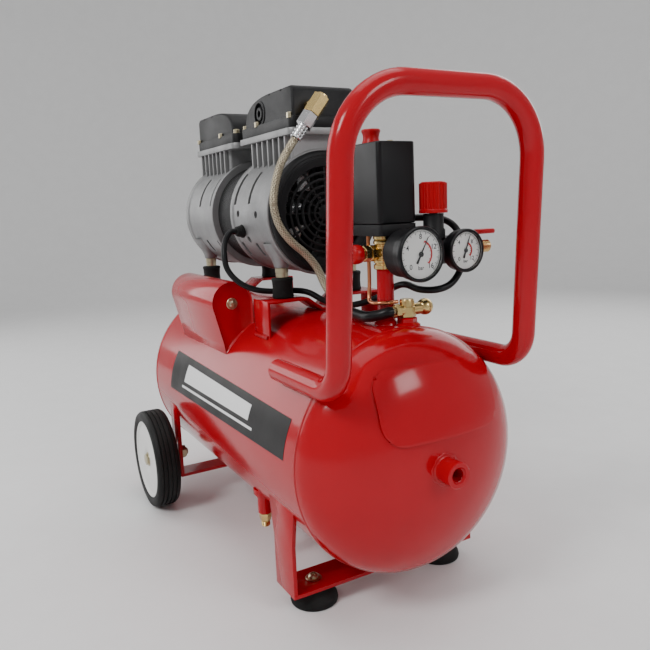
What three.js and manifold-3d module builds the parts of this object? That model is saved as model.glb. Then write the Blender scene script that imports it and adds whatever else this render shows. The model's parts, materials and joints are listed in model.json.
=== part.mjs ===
// A 24-litre oil-free air compressor: a lying tank on two wheels and two rubber feet, a tubular
// handle over its front end, and a twin-cylinder pump on four rubber mounts.
// Millimetres, +Z up, +X towards the handle end. The origin is the middle of the footprint, at the floor.
import * as THREE from 'three';
import { mergeVertices } from 'three/addons/utils/BufferGeometryUtils.js';
import Module from 'manifold-3d';

const wasm = await Module();
wasm.setup();

// ---------------------------------------------------------------- driving dimensions
const GAP = 0.3; // between two solids that touch on the real object
const RUNNING_GAP = 0.4; // round a shaft or stem that turns or slides

// tank
const TANK_RADIUS = 125;
const BARREL_LENGTH = 458.6;
const HEAD_DEPTH = 63.4;
const TANK_WALL = 2;
const GROUND_CLEARANCE = 39.9;
const TANK_SIDES = 36;
const PORT_RADIUS = 12.5;
const PORT_BORE = 5.5;
const PORT_LENGTH = 27;
const PORT_STANDOUT = 19;

// handle
const HANDLE_TUBE = 22;
const HANDLE_WALL = 1.8;
const HANDLE_RISE = 215.5; // top tube's centre above the tank's highest line
const HANDLE_REST_ANGLE = 50.6; // degrees from the top, where its foot runs lie on the tank
const HANDLE_RUN = 118;
const HANDLE_REACH = 53.7; // foot bend ahead of the front seam
const HANDLE_LEAN = 17;
const HANDLE_INSET = 3.3;
const HANDLE_TOP_BEND = 62;
const HANDLE_FOOT_BEND = 30;

// front bracket and feet
const STRIP = 4; // thickness of the flat bar
const BRACKET_WIDTH = 42;
const BRACKET_BACK = 55.8; // bracket's middle behind the front seam
const BRACKET_FLARE = 9;
const BRACKET_INSET = 12; // leg's middle inside the tank's side
const FOOT_HEIGHT = 20;
const FOOT_RADIUS = 25.4;
const FOOT_SPREAD = 164;
const FOOT_BOLT = 4;

// wheels
const WHEEL_RADIUS = 67.7;
const WHEEL_WIDTH = 32;
const TYRE_THICKNESS = 13.7;
const AXLE_RADIUS = 5;
const AXLE_AHEAD = 68.4; // of the rear seam
const AXLE_BRACKET_WIDTH = 30;
const AXLE_BRACKET_INSET = 4;
const WHEEL_STANDOFF = 16; // wheel's inner face outside the bracket leg's middle

// platforms and rubber mounts
const PLATFORM_WIDTH = 40;
const PLATFORM_STRIP = 3;
const PLATFORM_HEIGHT = 17.1; // top face above the tank's highest line
const PLATFORM_HALF = 75;
const PLATFORM_EAR = 50; // length of the level stretch under each mount
const MOUNT_RADIUS = 12.5;
const MOUNT_HEIGHT = 23.4;
const MOUNT_SIDE = 46;

// pump
const PUMP_CENTRE = -58; // along the tank, from its middle
const MOUNT_OUT = 118; // mounts from the pump's middle
const CASE_RADIUS = 71;
const CASE_WALL = 8;
const CASE_START = 31.6;
const CASE_LENGTH = 109.2;
const REGISTER_DEPTH = 23.4;
const STATOR_RADIUS = 62;
const STATOR_BORE = 32;
const ROTOR_GAP = 0.5;
const SHAFT_RADIUS = 8;
const CYLINDER_AT = 88;
const PISTON_RADIUS = 31.4;
const STROKE = 18;
const NECK_HALF = 42;
const RIB_DEPTH = 4;
const DECK_ABOVE = 92; // cylinder's top face above the pump's axis
const DECK_THICKNESS = 7.5;
const DECK_START = 8;
const DECK_LENGTH = 147;
const DECK_HALF = 45;
const HEAD_BASE = 12;
const HEAD_RISE = 44;
const HEAD_WALL = 4;
const FAN_RADIUS = 56;
const FAN_COVER_DEPTH = 7;

// capacitor
const CAP_COVER_RADIUS = 25.5;
const CAP_COVER_LENGTH = 163;
const CAP_COVER_END = 9;
const CAP_STANDOFF = 36.5; // cover's centre line outside the tank's skin
const CAP_ANGLE = 33.23; // degrees from the top, on the -Y side
const SHEET = 1.5;
const CAPACITOR_RADIUS = 20;
const CAPACITOR_LENGTH = 112;

// control group, placed from the riser pipe
const RISER_BACK = 27.3; // behind the front seam
const RISER_RADIUS = 8.5;
const RISER_HEIGHT = 55;
const MANIFOLD_RADIUS = 11;
const MANIFOLD_HEIGHT = 33.4;
const SWITCH_LENGTH = 70;
const SWITCH_HALF = 21.5;
const SWITCH_HEIGHT = 88;
const SWITCH_BASE = 11;
const SWITCH_WALL = 2.5;
const SWITCH_FORWARD = 26; // box's front face ahead of the riser
const REGULATOR_FORWARD = 28;
const REGULATOR_RADIUS = 14;
const GAUGE_HOUSING_RADIUS = 23;
const TANK_GAUGE_RADIUS = 25.5;
const TANK_GAUGE_SIDE = 2.5;
const OUTLET_GAUGE_RADIUS = 20.5;
const OUTLET_GAUGE_SIDE = 56;
const GAUGE_DEPTH = 14.5;
const REGULATOR_KNOB_RADIUS = 14;
const REGULATOR_KNOB_SIDE = 39.5;

// cords
const HOSE_RADIUS = 4.3;
const LEAD_RADIUS = 3.5;
const UNLOADER_RADIUS = 2;

// ---------------------------------------------------------------- places worked out from them
const axisHeight = GROUND_CLEARANCE + TANK_RADIUS;
const tankTop = axisHeight + TANK_RADIUS;
const frontSeam = BARREL_LENGTH / 2;
const mountFoot = tankTop + PLATFORM_HEIGHT + GAP;
const mountTop = mountFoot + MOUNT_HEIGHT;
const pumpAxis = mountTop + CASE_RADIUS + 0.6;
const riserX = frontSeam - RISER_BACK;
const riserTop = tankTop + RISER_HEIGHT;
const manifoldMiddle = riserTop + GAP + MANIFOLD_HEIGHT / 2;
const manifoldTop = riserTop + GAP + MANIFOLD_HEIGHT;

// ---------------------------------------------------------------- finishes
const finish = (color, roughness, metalness = 0) =>
  new THREE.MeshStandardMaterial({ color, roughness, metalness });
const redPaint = finish(0xd81418, 0.3);
const castAlloy = finish(0x9a9b9c, 0.5, 0.6);
const blackCast = finish(0x1b1b1c, 0.5);
const blackPlastic = finish(0x19191a, 0.45);
const rubber = finish(0x151515, 0.8);
const whitePlastic = finish(0xe8e8e6, 0.4);
const zinc = finish(0xb9b29a, 0.35, 0.9);
const brass = finish(0xc9a24a, 0.3, 0.9);
const steel = finish(0x8b8d90, 0.35, 0.9);
const copper = finish(0xb06a3c, 0.35, 0.9);
const laminations = finish(0x26262a, 0.6, 0.3);
const redPlastic = finish(0xd21a1c, 0.4);
const braid = finish(0xa39f94, 0.4, 0.8);

// ---------------------------------------------------------------- shape helpers
const X = new THREE.Vector3(1, 0, 0);
const Y = new THREE.Vector3(0, 1, 0);
const Z = new THREE.Vector3(0, 0, 1);
const vec = (x, y, z) => new THREE.Vector3(x, y, z);
const degrees = (value) => (value * Math.PI) / 180;

// A turned solid: [radius, distance] pairs along `direction` from `base`, once round.
function turned(profile, base, direction, sides = 32) {
  const points = profile.map(([radius, distance]) => new THREE.Vector2(radius, distance));
  const geometry = new THREE.LatheGeometry(points, sides);
  geometry.applyQuaternion(new THREE.Quaternion().setFromUnitVectors(Y, direction));
  return geometry.translate(base.x, base.y, base.z);
}

// A turned ring between two radii, its section a rectangle.
function ring(inner, outer, base, direction, length, sides = 32) {
  const section = [[inner, 0], [outer, 0], [outer, length], [inner, length], [inner, 0]];
  return turned(section, base, direction, sides);
}

// A round bar from one point to another; six sides make it a hexagon bar.
function bar(from, to, radius, sides = 24, endRadius = radius) {
  const along = to.clone().sub(from);
  const geometry = new THREE.CylinderGeometry(endRadius, radius, along.length(), sides);
  geometry.applyQuaternion(new THREE.Quaternion().setFromUnitVectors(Y, along.clone().normalize()));
  const middle = from.clone().add(to).multiplyScalar(0.5);
  return geometry.translate(middle.x, middle.y, middle.z);
}

function block(x0, x1, y0, y1, z0, z1) {
  const geometry = new THREE.BoxGeometry(x1 - x0, y1 - y0, z1 - z0);
  return geometry.translate((x0 + x1) / 2, (y0 + y1) / 2, (z0 + z1) / 2);
}

// A flat outline given a thickness from `start` to `end` along one axis.
// Outlines for X are drawn in (y, z), for Y in (x, z) and for Z in (x, y).
function slab(outline, axis, start, end, curveSegments = 8) {
  const options = { depth: end - start, bevelEnabled: false, curveSegments };
  const geometry = new THREE.ExtrudeGeometry(outline, options);
  const turn = new THREE.Matrix4();
  if (axis === 'x') turn.makeBasis(Y, Z, X);
  if (axis === 'y') {
    geometry.translate(0, 0, -(end - start));
    turn.makeBasis(X, Z, Y.clone().negate());
  }
  geometry.applyMatrix4(turn);
  const shift = { x: vec(start, 0, 0), y: vec(0, start, 0), z: vec(0, 0, start) }[axis];
  return geometry.translate(shift.x, shift.y, shift.z);
}

function polygon(points) {
  return new THREE.Shape(points.map(([a, b]) => new THREE.Vector2(a, b)));
}

function roundedRectangle(x0, x1, y0, y1, radius) {
  const shape = new THREE.Shape();
  shape.moveTo(x0 + radius, y0);
  shape.lineTo(x1 - radius, y0);
  shape.absarc(x1 - radius, y0 + radius, radius, -Math.PI / 2, 0);
  shape.lineTo(x1, y1 - radius);
  shape.absarc(x1 - radius, y1 - radius, radius, 0, Math.PI / 2);
  shape.lineTo(x0 + radius, y1);
  shape.absarc(x0 + radius, y1 - radius, radius, Math.PI / 2, Math.PI);
  shape.lineTo(x0, y0 + radius);
  shape.absarc(x0 + radius, y0 + radius, radius, Math.PI, 1.5 * Math.PI);
  return shape;
}

// The outline of a bent strip: a centre line with half the thickness on each side.
function strip(centreLine, thickness) {
  const points = centreLine.map(([a, b]) => new THREE.Vector2(a, b));
  const side = (sign) => points.map((point, index) => {
    const before = points[Math.max(index - 1, 0)];
    const after = points[Math.min(index + 1, points.length - 1)];
    const inward = point.clone().sub(before).normalize();
    const outward = after.clone().sub(point).normalize();
    if (index === 0) inward.copy(outward);
    if (index === points.length - 1) outward.copy(inward);
    const normal = new THREE.Vector2(-inward.y - outward.y, inward.x + outward.x).normalize();
    const mitre = 1 / normal.dot(new THREE.Vector2(-inward.y, inward.x));
    return point.clone().add(normal.multiplyScalar((sign * mitre * thickness) / 2));
  });
  return new THREE.Shape([...side(1), ...side(-1).reverse()]);
}

// A path of straights joined by arcs. Its stations stand only where it starts, ends or bends.
class BentPath extends THREE.Curve {
  constructor(corners, radii, stepsPerBend) {
    super();
    this.stations = [corners[0]];
    for (let index = 1; index < corners.length - 1; index += 1) {
      const corner = corners[index];
      const back = corners[index - 1].clone().sub(corner).normalize();
      const ahead = corners[index + 1].clone().sub(corner).normalize();
      const halfAngle = back.angleTo(ahead) / 2;
      const radius = radii[index - 1];
      const centre = back.clone().add(ahead).normalize().multiplyScalar(radius / Math.sin(halfAngle));
      centre.add(corner);
      const tangentLength = radius / Math.tan(halfAngle);
      const first = corner.clone().addScaledVector(back, tangentLength).sub(centre);
      const turn = Math.PI - 2 * halfAngle;
      const axle = back.clone().cross(ahead).normalize().negate();
      for (let step = 0; step <= stepsPerBend; step += 1) {
        const spoke = first.clone().applyAxisAngle(axle, (turn * step) / stepsPerBend);
        this.stations.push(spoke.add(centre));
      }
    }
    this.stations.push(corners[corners.length - 1]);
  }

  getPointAt(fraction) {
    const place = fraction * (this.stations.length - 1);
    const index = Math.min(Math.floor(place), this.stations.length - 2);
    return this.stations[index].clone().lerp(this.stations[index + 1], place - index);
  }

  getTangentAt(fraction) {
    const index = Math.round(fraction * (this.stations.length - 1));
    const before = this.stations[Math.max(index - 1, 0)];
    const after = this.stations[Math.min(index + 1, this.stations.length - 1)];
    const here = this.stations[index];
    const inward = here.clone().sub(before).normalize();
    const outward = after.clone().sub(here).normalize();
    return inward.add(outward).normalize();
  }
}

function circle(radius, sides) {
  const shape = new THREE.Shape();
  for (let side = 0; side < sides; side += 1) {
    const angle = (2 * Math.PI * side) / sides;
    const place = [radius * Math.cos(angle), radius * Math.sin(angle)];
    if (side === 0) shape.moveTo(...place);
    else shape.lineTo(...place);
  }
  return shape;
}

function tube(path, steps, radius, sides, bore = 0) {
  const section = circle(radius, sides);
  if (bore > 0) section.holes.push(circle(bore, sides));
  return new THREE.ExtrudeGeometry(section, { extrudePath: path, steps, curveSegments: 1 });
}

// A cord through chosen points, as [x, y, z] triples.
function cord(points, radius, steps, sides = 8) {
  const curve = new THREE.CatmullRomCurve3(points.map((point) => vec(...point)));
  return tube(curve, steps, radius, sides);
}

// ---------------------------------------------------------------- joining and cutting
function solidOf(geometry) {
  const bare = geometry.clone();
  bare.deleteAttribute('normal');
  bare.deleteAttribute('uv');
  const merged = mergeVertices(bare, 1e-4);
  const corners = Array.from(merged.index.array);
  const triVerts = [];
  for (let at = 0; at < corners.length; at += 3) {
    const [a, b, c] = corners.slice(at, at + 3);
    if (a !== b && b !== c && c !== a) triVerts.push(a, b, c);
  }
  return new wasm.Manifold(new wasm.Mesh({
    numProp: 3,
    vertProperties: new Float32Array(merged.attributes.position.array),
    triVerts: new Uint32Array(triVerts),
  }));
}

function geometryOf(solid) {
  const mesh = solid.getMesh();
  const geometry = new THREE.BufferGeometry();
  geometry.setAttribute('position', new THREE.BufferAttribute(new Float32Array(mesh.vertProperties), 3));
  geometry.setIndex(new THREE.BufferAttribute(new Uint32Array(mesh.triVerts), 1));
  geometry.computeVertexNormals();
  return geometry;
}

function shaped(added, removed = []) {
  let solid = solidOf(added[0]);
  for (const geometry of added.slice(1)) solid = solid.add(solidOf(geometry));
  for (const geometry of removed) solid = solid.subtract(solidOf(geometry));
  return geometryOf(solid);
}

function part(name, geometry, material) {
  const mesh = new THREE.Mesh(geometry, material);
  mesh.name = name;
  return mesh;
}

function group(position, ...children) {
  const result = new THREE.Group();
  result.position.copy(position);
  result.add(...children);
  return result;
}

// What rests on the barrel is cut to it with this roller, a gap larger than the barrel.
function tankRoller(extra = GAP) {
  const from = vec(-BARREL_LENGTH, 0, axisHeight);
  const to = vec(BARREL_LENGTH, 0, axisHeight);
  return bar(from, to, TANK_RADIUS + extra, TANK_SIDES);
}

const tankHeightAt = (side) => axisHeight + Math.sqrt(TANK_RADIUS ** 2 - side ** 2);
const tankUndersideAt = (side) => axisHeight - Math.sqrt(TANK_RADIUS ** 2 - side ** 2);

// ---------------------------------------------------------------- tank
const CHECK_VALVE_X = frontSeam - 11;
const CHECK_VALVE_Y = 14;
const SOCKET_RADIUS = 10;
const SOCKET_HEIGHT = 8;
const DRAIN_X = 85;
const DRAIN_Y = -95;
const DRAIN_SOCKET_RADIUS = 8;
const DRAIN_SOCKET_DROP = 17;
const BORE_IN_TANK = 4;

function tankBarrel() {
  const start = vec(-BARREL_LENGTH / 2, 0, axisHeight);
  const shell = ring(TANK_RADIUS - TANK_WALL, TANK_RADIUS, start, X, BARREL_LENGTH, TANK_SIDES);
  const socketTop = tankHeightAt(CHECK_VALVE_Y) + SOCKET_HEIGHT;
  const drainTop = tankUndersideAt(DRAIN_Y);
  const sockets = [
    bar(vec(CHECK_VALVE_X, CHECK_VALVE_Y, tankTop - TANK_WALL), vec(CHECK_VALVE_X, CHECK_VALVE_Y, socketTop),
      SOCKET_RADIUS, 6),
    bar(vec(DRAIN_X, DRAIN_Y, drainTop - DRAIN_SOCKET_DROP), vec(DRAIN_X, DRAIN_Y, drainTop + 6),
      DRAIN_SOCKET_RADIUS, 16),
  ];
  const trimmedSockets = sockets.map((socket) => shaped([socket], [tankRoller(-TANK_WALL / 2)]));
  const bores = [
    bar(vec(CHECK_VALVE_X, CHECK_VALVE_Y, tankTop - 20), vec(CHECK_VALVE_X, CHECK_VALVE_Y, socketTop + 5),
      BORE_IN_TANK, 12),
    bar(vec(riserX, 0, tankTop - 20), vec(riserX, 0, tankTop + 5), BORE_IN_TANK, 12),
    bar(vec(DRAIN_X, DRAIN_Y, drainTop - DRAIN_SOCKET_DROP - 5), vec(DRAIN_X, DRAIN_Y, drainTop + 20),
      BORE_IN_TANK, 12),
  ];
  return shaped([shell, ...trimmedSockets], bores);
}

// A solid half ellipsoid's profile, from the middle of its flat side to its pole.
function halfEllipse(radius, depth, steps = 5) {
  const profile = [[0, 0]];
  for (let step = 0; step < steps; step += 1) {
    const angle = (Math.PI / 2) * (step / steps);
    profile.push([radius * Math.cos(angle), depth * Math.sin(angle)]);
  }
  profile.push([0, depth]);
  return profile;
}

function tankHead(direction, hole) {
  const seam = vec(direction * (BARREL_LENGTH / 2 + GAP), 0, axisHeight);
  const outward = vec(direction, 0, 0);
  const outside = turned(halfEllipse(TANK_RADIUS, HEAD_DEPTH), seam, outward, TANK_SIDES);
  const innerProfile = halfEllipse(TANK_RADIUS - TANK_WALL, HEAD_DEPTH - TANK_WALL);
  const removed = [turned(innerProfile, seam, outward, TANK_SIDES)];
  if (hole > 0) {
    removed.push(bar(seam, seam.clone().addScaledVector(outward, HEAD_DEPTH + 10), hole, 24));
  }
  return shaped([outside], removed);
}

const portFace = frontSeam + HEAD_DEPTH + PORT_STANDOUT;

function frontPort() {
  const base = vec(portFace - PORT_LENGTH, 0, axisHeight);
  return ring(PORT_BORE, PORT_RADIUS, base, X, PORT_LENGTH, 24);
}

const tank = new THREE.Group();
tank.add(
  part('tank_barrel', tankBarrel(), redPaint),
  part('tank_front_head', tankHead(1, PORT_RADIUS + GAP), redPaint),
  part('tank_rear_head', tankHead(-1, 0), redPaint),
  part('front_port_boss', frontPort(), redPaint),
);

// ---------------------------------------------------------------- handle
function handle() {
  const restRadius = TANK_RADIUS + HANDLE_TUBE / 2 + 2 * GAP;
  const restSide = restRadius * Math.sin(degrees(HANDLE_REST_ANGLE));
  const restHeight = axisHeight + restRadius * Math.cos(degrees(HANDLE_REST_ANGLE));
  const footBend = frontSeam + HANDLE_REACH;
  const topBend = footBend + HANDLE_LEAN;
  const topHeight = tankTop + HANDLE_RISE;
  const topSide = restSide - HANDLE_INSET;
  const half = [
    vec(footBend - HANDLE_RUN, -restSide, restHeight),
    vec(footBend, -restSide, restHeight),
    vec(topBend, -topSide, topHeight),
  ];
  const other = half.map((point) => vec(point.x, -point.y, point.z)).reverse();
  const radii = [HANDLE_FOOT_BEND, HANDLE_TOP_BEND, HANDLE_TOP_BEND, HANDLE_FOOT_BEND];
  const path = new BentPath([...half, ...other], radii, 4);
  const steps = path.stations.length - 1;
  return tube(path, steps, HANDLE_TUBE / 2, 10, HANDLE_TUBE / 2 - HANDLE_WALL);
}

tank.add(part('handle_tube', handle(), redPaint));

// ---------------------------------------------------------------- front bracket and feet
const bracketX = frontSeam - BRACKET_BACK;
const bracketSide = TANK_RADIUS - BRACKET_INSET;
const crossbarTop = FOOT_HEIGHT + STRIP;
const BOLT_HEAD = 5;
const BOLT_DEPTH = 10;

function frontBracket() {
  const half = BRACKET_WIDTH / 2;
  const top = tankUndersideAt(bracketSide) + 14;
  const flareStart = top - 50;
  const leg = polygon([
    [bracketX - half, FOOT_HEIGHT],
    [bracketX + half, FOOT_HEIGHT],
    [bracketX + half, flareStart],
    [bracketX + half + BRACKET_FLARE, top],
    [bracketX - half - BRACKET_FLARE, top],
    [bracketX - half, flareStart],
  ]);
  const outer = bracketSide + STRIP / 2;
  const inner = bracketSide - STRIP / 2;
  const added = [
    block(bracketX - half, bracketX + half, -outer, outer, FOOT_HEIGHT, crossbarTop),
    slab(leg, 'y', inner, outer),
    slab(leg, 'y', -outer, -inner),
  ];
  const removed = [tankRoller()];
  for (const side of [-1, 1]) {
    const y = (side * FOOT_SPREAD) / 2;
    removed.push(bar(vec(bracketX, y, 0), vec(bracketX, y, crossbarTop + 5), FOOT_BOLT + GAP, 16));
  }
  return shaped(added, removed);
}

function foot() {
  const top = FOOT_HEIGHT - GAP;
  const profile = [[0, 0], [FOOT_RADIUS, 0], [FOOT_RADIUS, 3], [FOOT_RADIUS * 0.62, 14]];
  profile.push([FOOT_RADIUS * 0.6, top], [0, top]);
  const socket = bar(vec(0, 0, BOLT_DEPTH - GAP), vec(0, 0, top + 5), FOOT_BOLT + GAP, 16);
  return shaped([turned(profile, vec(0, 0, 0), Z, 24)], [socket]);
}

function footBolt() {
  const seat = crossbarTop + GAP;
  const head = bar(vec(0, 0, seat), vec(0, 0, seat + BOLT_HEAD), 7, 6);
  const shank = bar(vec(0, 0, BOLT_DEPTH), vec(0, 0, seat + 1), FOOT_BOLT, 16);
  return shaped([head, shank]);
}

tank.add(part('front_leg_bracket', frontBracket(), redPaint));
for (const [side, sign] of [['left', 1], ['right', -1]]) {
  tank.add(group(
    vec(bracketX, (sign * FOOT_SPREAD) / 2, 0),
    part(`foot_${side}`, foot(), rubber),
    part(`foot_bolt_${side}`, footBolt(), zinc),
  ));
}

// ---------------------------------------------------------------- wheels and their bracket
const axleX = -BARREL_LENGTH / 2 + AXLE_AHEAD;
const axleSide = TANK_RADIUS - AXLE_BRACKET_INSET;
const wheelInner = axleSide + WHEEL_STANDOFF;
const NUT_THICKNESS = 8;

function wheelBracket() {
  const half = AXLE_BRACKET_WIDTH / 2;
  const barTop = GROUND_CLEARANCE - 0.4;
  const legTop = tankUndersideAt(axleSide) + 8;
  const middle = barTop - STRIP / 2;
  const line = [[-axleSide, legTop], [-axleSide, middle], [axleSide, middle], [axleSide, legTop]];
  const u = slab(strip(line, STRIP), 'x', axleX - half, axleX + half);
  const hole = bar(vec(axleX, -axleSide - 10, WHEEL_RADIUS), vec(axleX, axleSide + 10, WHEEL_RADIUS),
    AXLE_RADIUS + GAP, 20);
  return shaped([u], [tankRoller(), hole]);
}

// Wheel pieces are drawn on the +Y side with the axle's line as Y; the other side is turned round.
function tyre() {
  const rim = WHEEL_RADIUS - TYRE_THICKNESS;
  const width = WHEEL_WIDTH;
  const section = [[rim, 0], [WHEEL_RADIUS - 5, 0], [WHEEL_RADIUS - 1.2, 2.2], [WHEEL_RADIUS, 7]];
  section.push([WHEEL_RADIUS, width - 7], [WHEEL_RADIUS - 1.2, width - 2.2]);
  section.push([WHEEL_RADIUS - 5, width], [rim, width], [rim, 0]);
  return turned(section, vec(0, wheelInner, 0), Y, 24);
}

function hub() {
  const rim = WHEEL_RADIUS - TYRE_THICKNESS - GAP;
  const bore = AXLE_RADIUS + RUNNING_GAP;
  const faceAt = WHEEL_WIDTH - 5;
  const bossStart = -WHEEL_STANDOFF + STRIP / 2 + 1.5;
  const section = [[bore, bossStart], [13, bossStart], [13, faceAt - 5], [rim - 4, faceAt - 5]];
  section.push([rim - 4, 2], [rim, 2], [rim, WHEEL_WIDTH - 2], [rim - 3, WHEEL_WIDTH - 2]);
  section.push([rim - 6, faceAt], [bore, faceAt], [bore, bossStart]);
  return turned(section, vec(0, wheelInner, 0), Y, 24);
}

function axle() {
  const headAt = wheelInner + WHEEL_WIDTH - 5 + GAP;
  const legInner = axleSide - STRIP / 2 - GAP;
  const head = bar(vec(0, headAt, 0), vec(0, headAt + 4.4, 0), 8.5, 6);
  const shank = bar(vec(0, legInner - NUT_THICKNESS - 3, 0), vec(0, headAt + 1, 0), AXLE_RADIUS, 20);
  const nut = bar(vec(0, legInner - NUT_THICKNESS, 0), vec(0, legInner, 0), 9.5, 6);
  return shaped([head, shank, nut]);
}

tank.add(part('wheel_bracket', wheelBracket(), redPaint));
for (const [side, turn] of [['left', 0], ['right', Math.PI]]) {
  const wheel = group(
    vec(axleX, 0, WHEEL_RADIUS),
    part(`axle_${side}`, axle(), zinc),
    part(`tyre_${side}`, tyre(), rubber),
    part(`wheel_${side}`, hub(), whitePlastic),
  );
  wheel.rotation.z = turn;
  tank.add(wheel);
}

// ---------------------------------------------------------------- platforms and rubber mounts
const platformX = { front: PUMP_CENTRE + MOUNT_OUT, rear: PUMP_CENTRE - MOUNT_OUT };

function platform(middle) {
  const half = PLATFORM_WIDTH / 2;
  const ear = tankTop + PLATFORM_HEIGHT - PLATFORM_STRIP / 2;
  const legs = PLATFORM_HALF - PLATFORM_STRIP / 2;
  const saddle = tankTop + GAP + PLATFORM_STRIP / 2 + 0.2;
  const legFoot = tankHeightAt(PLATFORM_HALF) - 6;
  const one = [[legs, legFoot], [legs, ear], [legs - PLATFORM_EAR, ear], [5, saddle]];
  const other = one.map(([y, z]) => [-y, z]).reverse();
  const outline = strip([...one, ...other], PLATFORM_STRIP);
  return shaped([slab(outline, 'x', middle - half, middle + half)], [tankRoller()]);
}

function rubberMount() {
  const r = MOUNT_RADIUS;
  const h = MOUNT_HEIGHT - GAP;
  const profile = [[0, 0], [r, 0], [r, 3], [r - 1.2, h / 2], [r, h - 3], [r, h], [0, h]];
  return turned(profile, vec(0, 0, 0), Z, 16);
}

for (const [end, x] of Object.entries(platformX)) {
  tank.add(part(`${end}_platform`, platform(x), redPaint));
  for (const [side, y] of [['left', MOUNT_SIDE], ['right', -MOUNT_SIDE]]) {
    tank.add(group(vec(x, y, mountFoot), part(`mount_${end}_${side}`, rubberMount(), rubber)));
  }
}

// ---------------------------------------------------------------- capacitor under its cover
const capSide = -(TANK_RADIUS + CAP_STANDOFF) * Math.sin(degrees(CAP_ANGLE));
const capHeight = axisHeight + (TANK_RADIUS + CAP_STANDOFF) * Math.cos(degrees(CAP_ANGLE));

// A round top with two skirts that go down into the tank's side, in (y, z).
function coverOutline(inset) {
  const radius = CAP_COVER_RADIUS - inset;
  const shape = new THREE.Shape();
  const left = degrees(200);
  shape.moveTo(capSide + radius, tankHeightAt(capSide) - 12);
  shape.lineTo(capSide + radius, capHeight);
  shape.absarc(capSide, capHeight, radius, 0, left);
  shape.lineTo(capSide - CAP_COVER_RADIUS * 0.32 + inset * 0.8, tankHeightAt(capSide) - 12);
  return shape;
}

function capacitorCover() {
  const front = CAP_COVER_END;
  const rear = CAP_COVER_END - CAP_COVER_LENGTH;
  const recess = 3;
  const outside = slab(coverOutline(0), 'x', rear, front, 10);
  const insides = [
    slab(coverOutline(SHEET), 'x', rear - 5, rear + recess, 10),
    slab(coverOutline(SHEET), 'x', rear + recess + SHEET, front - recess - SHEET, 10),
    slab(coverOutline(SHEET), 'x', front - recess, front + 5, 10),
  ];
  return shaped([outside], [...insides, tankRoller()]);
}

function capacitor() {
  const middle = CAP_COVER_END - CAP_COVER_LENGTH / 2;
  const from = vec(middle - CAPACITOR_LENGTH / 2, capSide, capHeight);
  const to = vec(middle + CAPACITOR_LENGTH / 2, capSide, capHeight);
  return bar(from, to, CAPACITOR_RADIUS, 24);
}

tank.add(
  part('capacitor_cover', capacitorCover(), redPaint),
  part('capacitor', capacitor(), blackPlastic),
);

// ---------------------------------------------------------------- pump
// Drawn with its shaft as X and its middle at the origin. The front end is drawn on the +X side,
// and the rear end is the same pieces turned half round about Z.
const caseEnd = CASE_START + CASE_LENGTH;
const registerEnd = CASE_START + REGISTER_DEPTH;
const WALL_BEHIND = 6;
const chamberStart = registerEnd + WALL_BEHIND;
const SLOT = { width: 5, reach: 15, angles: [28, -36], places: [12, 54] };

function crankcase() {
  const base = vec(CASE_START, 0, 0);
  const neckStart = caseEnd - 99;
  const deckBottom = DECK_ABOVE - DECK_THICKNESS;
  const deck = roundedRectangle(DECK_START, DECK_START + DECK_LENGTH, -DECK_HALF, DECK_HALF, 10);
  const added = [
    bar(base, vec(caseEnd, 0, 0), CASE_RADIUS, 30),
    block(neckStart, caseEnd, -NECK_HALF, NECK_HALF, CASE_RADIUS * 0.5, deckBottom + 1),
    slab(deck, 'z', deckBottom, DECK_ABOVE, 4),
  ];
  for (const side of [-1, 1]) {
    const y = side * MOUNT_SIDE;
    const bottom = mountTop - pumpAxis;
    const up = -Math.sqrt(CASE_RADIUS ** 2 - MOUNT_SIDE ** 2) + 4;
    added.push(bar(vec(MOUNT_OUT, y, bottom), vec(MOUNT_OUT, y, up), 7.5, 12));
    added.push(block(MOUNT_OUT - 6, MOUNT_OUT + 6, y - 5, y + 5, bottom + 9, up));
  }
  const chamberRadius = CASE_RADIUS - CASE_WALL;
  const bore = PISTON_RADIUS + RUNNING_GAP;
  const removed = [
    bar(vec(CASE_START - 5, 0, 0), vec(registerEnd, 0, 0), STATOR_RADIUS + GAP, 24),
    bar(vec(0, 0, 0), vec(caseEnd, 0, 0), SHAFT_RADIUS + RUNNING_GAP, 12),
    bar(vec(chamberStart, 0, 0), vec(caseEnd + 5, 0, 0), chamberRadius, 24),
    bar(vec(CYLINDER_AT, 0, 0), vec(CYLINDER_AT, 0, DECK_ABOVE + 5), bore, 24),
  ];
  for (const side of [-1, 1]) {
    for (let rib = 0; rib < 6; rib += 1) {
      const x = neckStart + 8 + rib * 15;
      const groove = block(x, x + 9, -RIB_DEPTH, RIB_DEPTH, 56, deckBottom - 3);
      removed.push(groove.translate(0, side * NECK_HALF, 0));
    }
    for (const angle of SLOT.angles) {
      for (const place of SLOT.places) {
        const slot = new THREE.BoxGeometry(SLOT.width, 30, 2 * SLOT.reach);
        slot.translate(0, 0, CASE_RADIUS);
        slot.rotateX(-side * degrees(90 - angle));
        slot.translate(CASE_START + place, 0, 0);
        removed.push(slot);
      }
    }
  }
  return shaped(added, removed);
}

const PORT_SIDE = -18;

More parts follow.
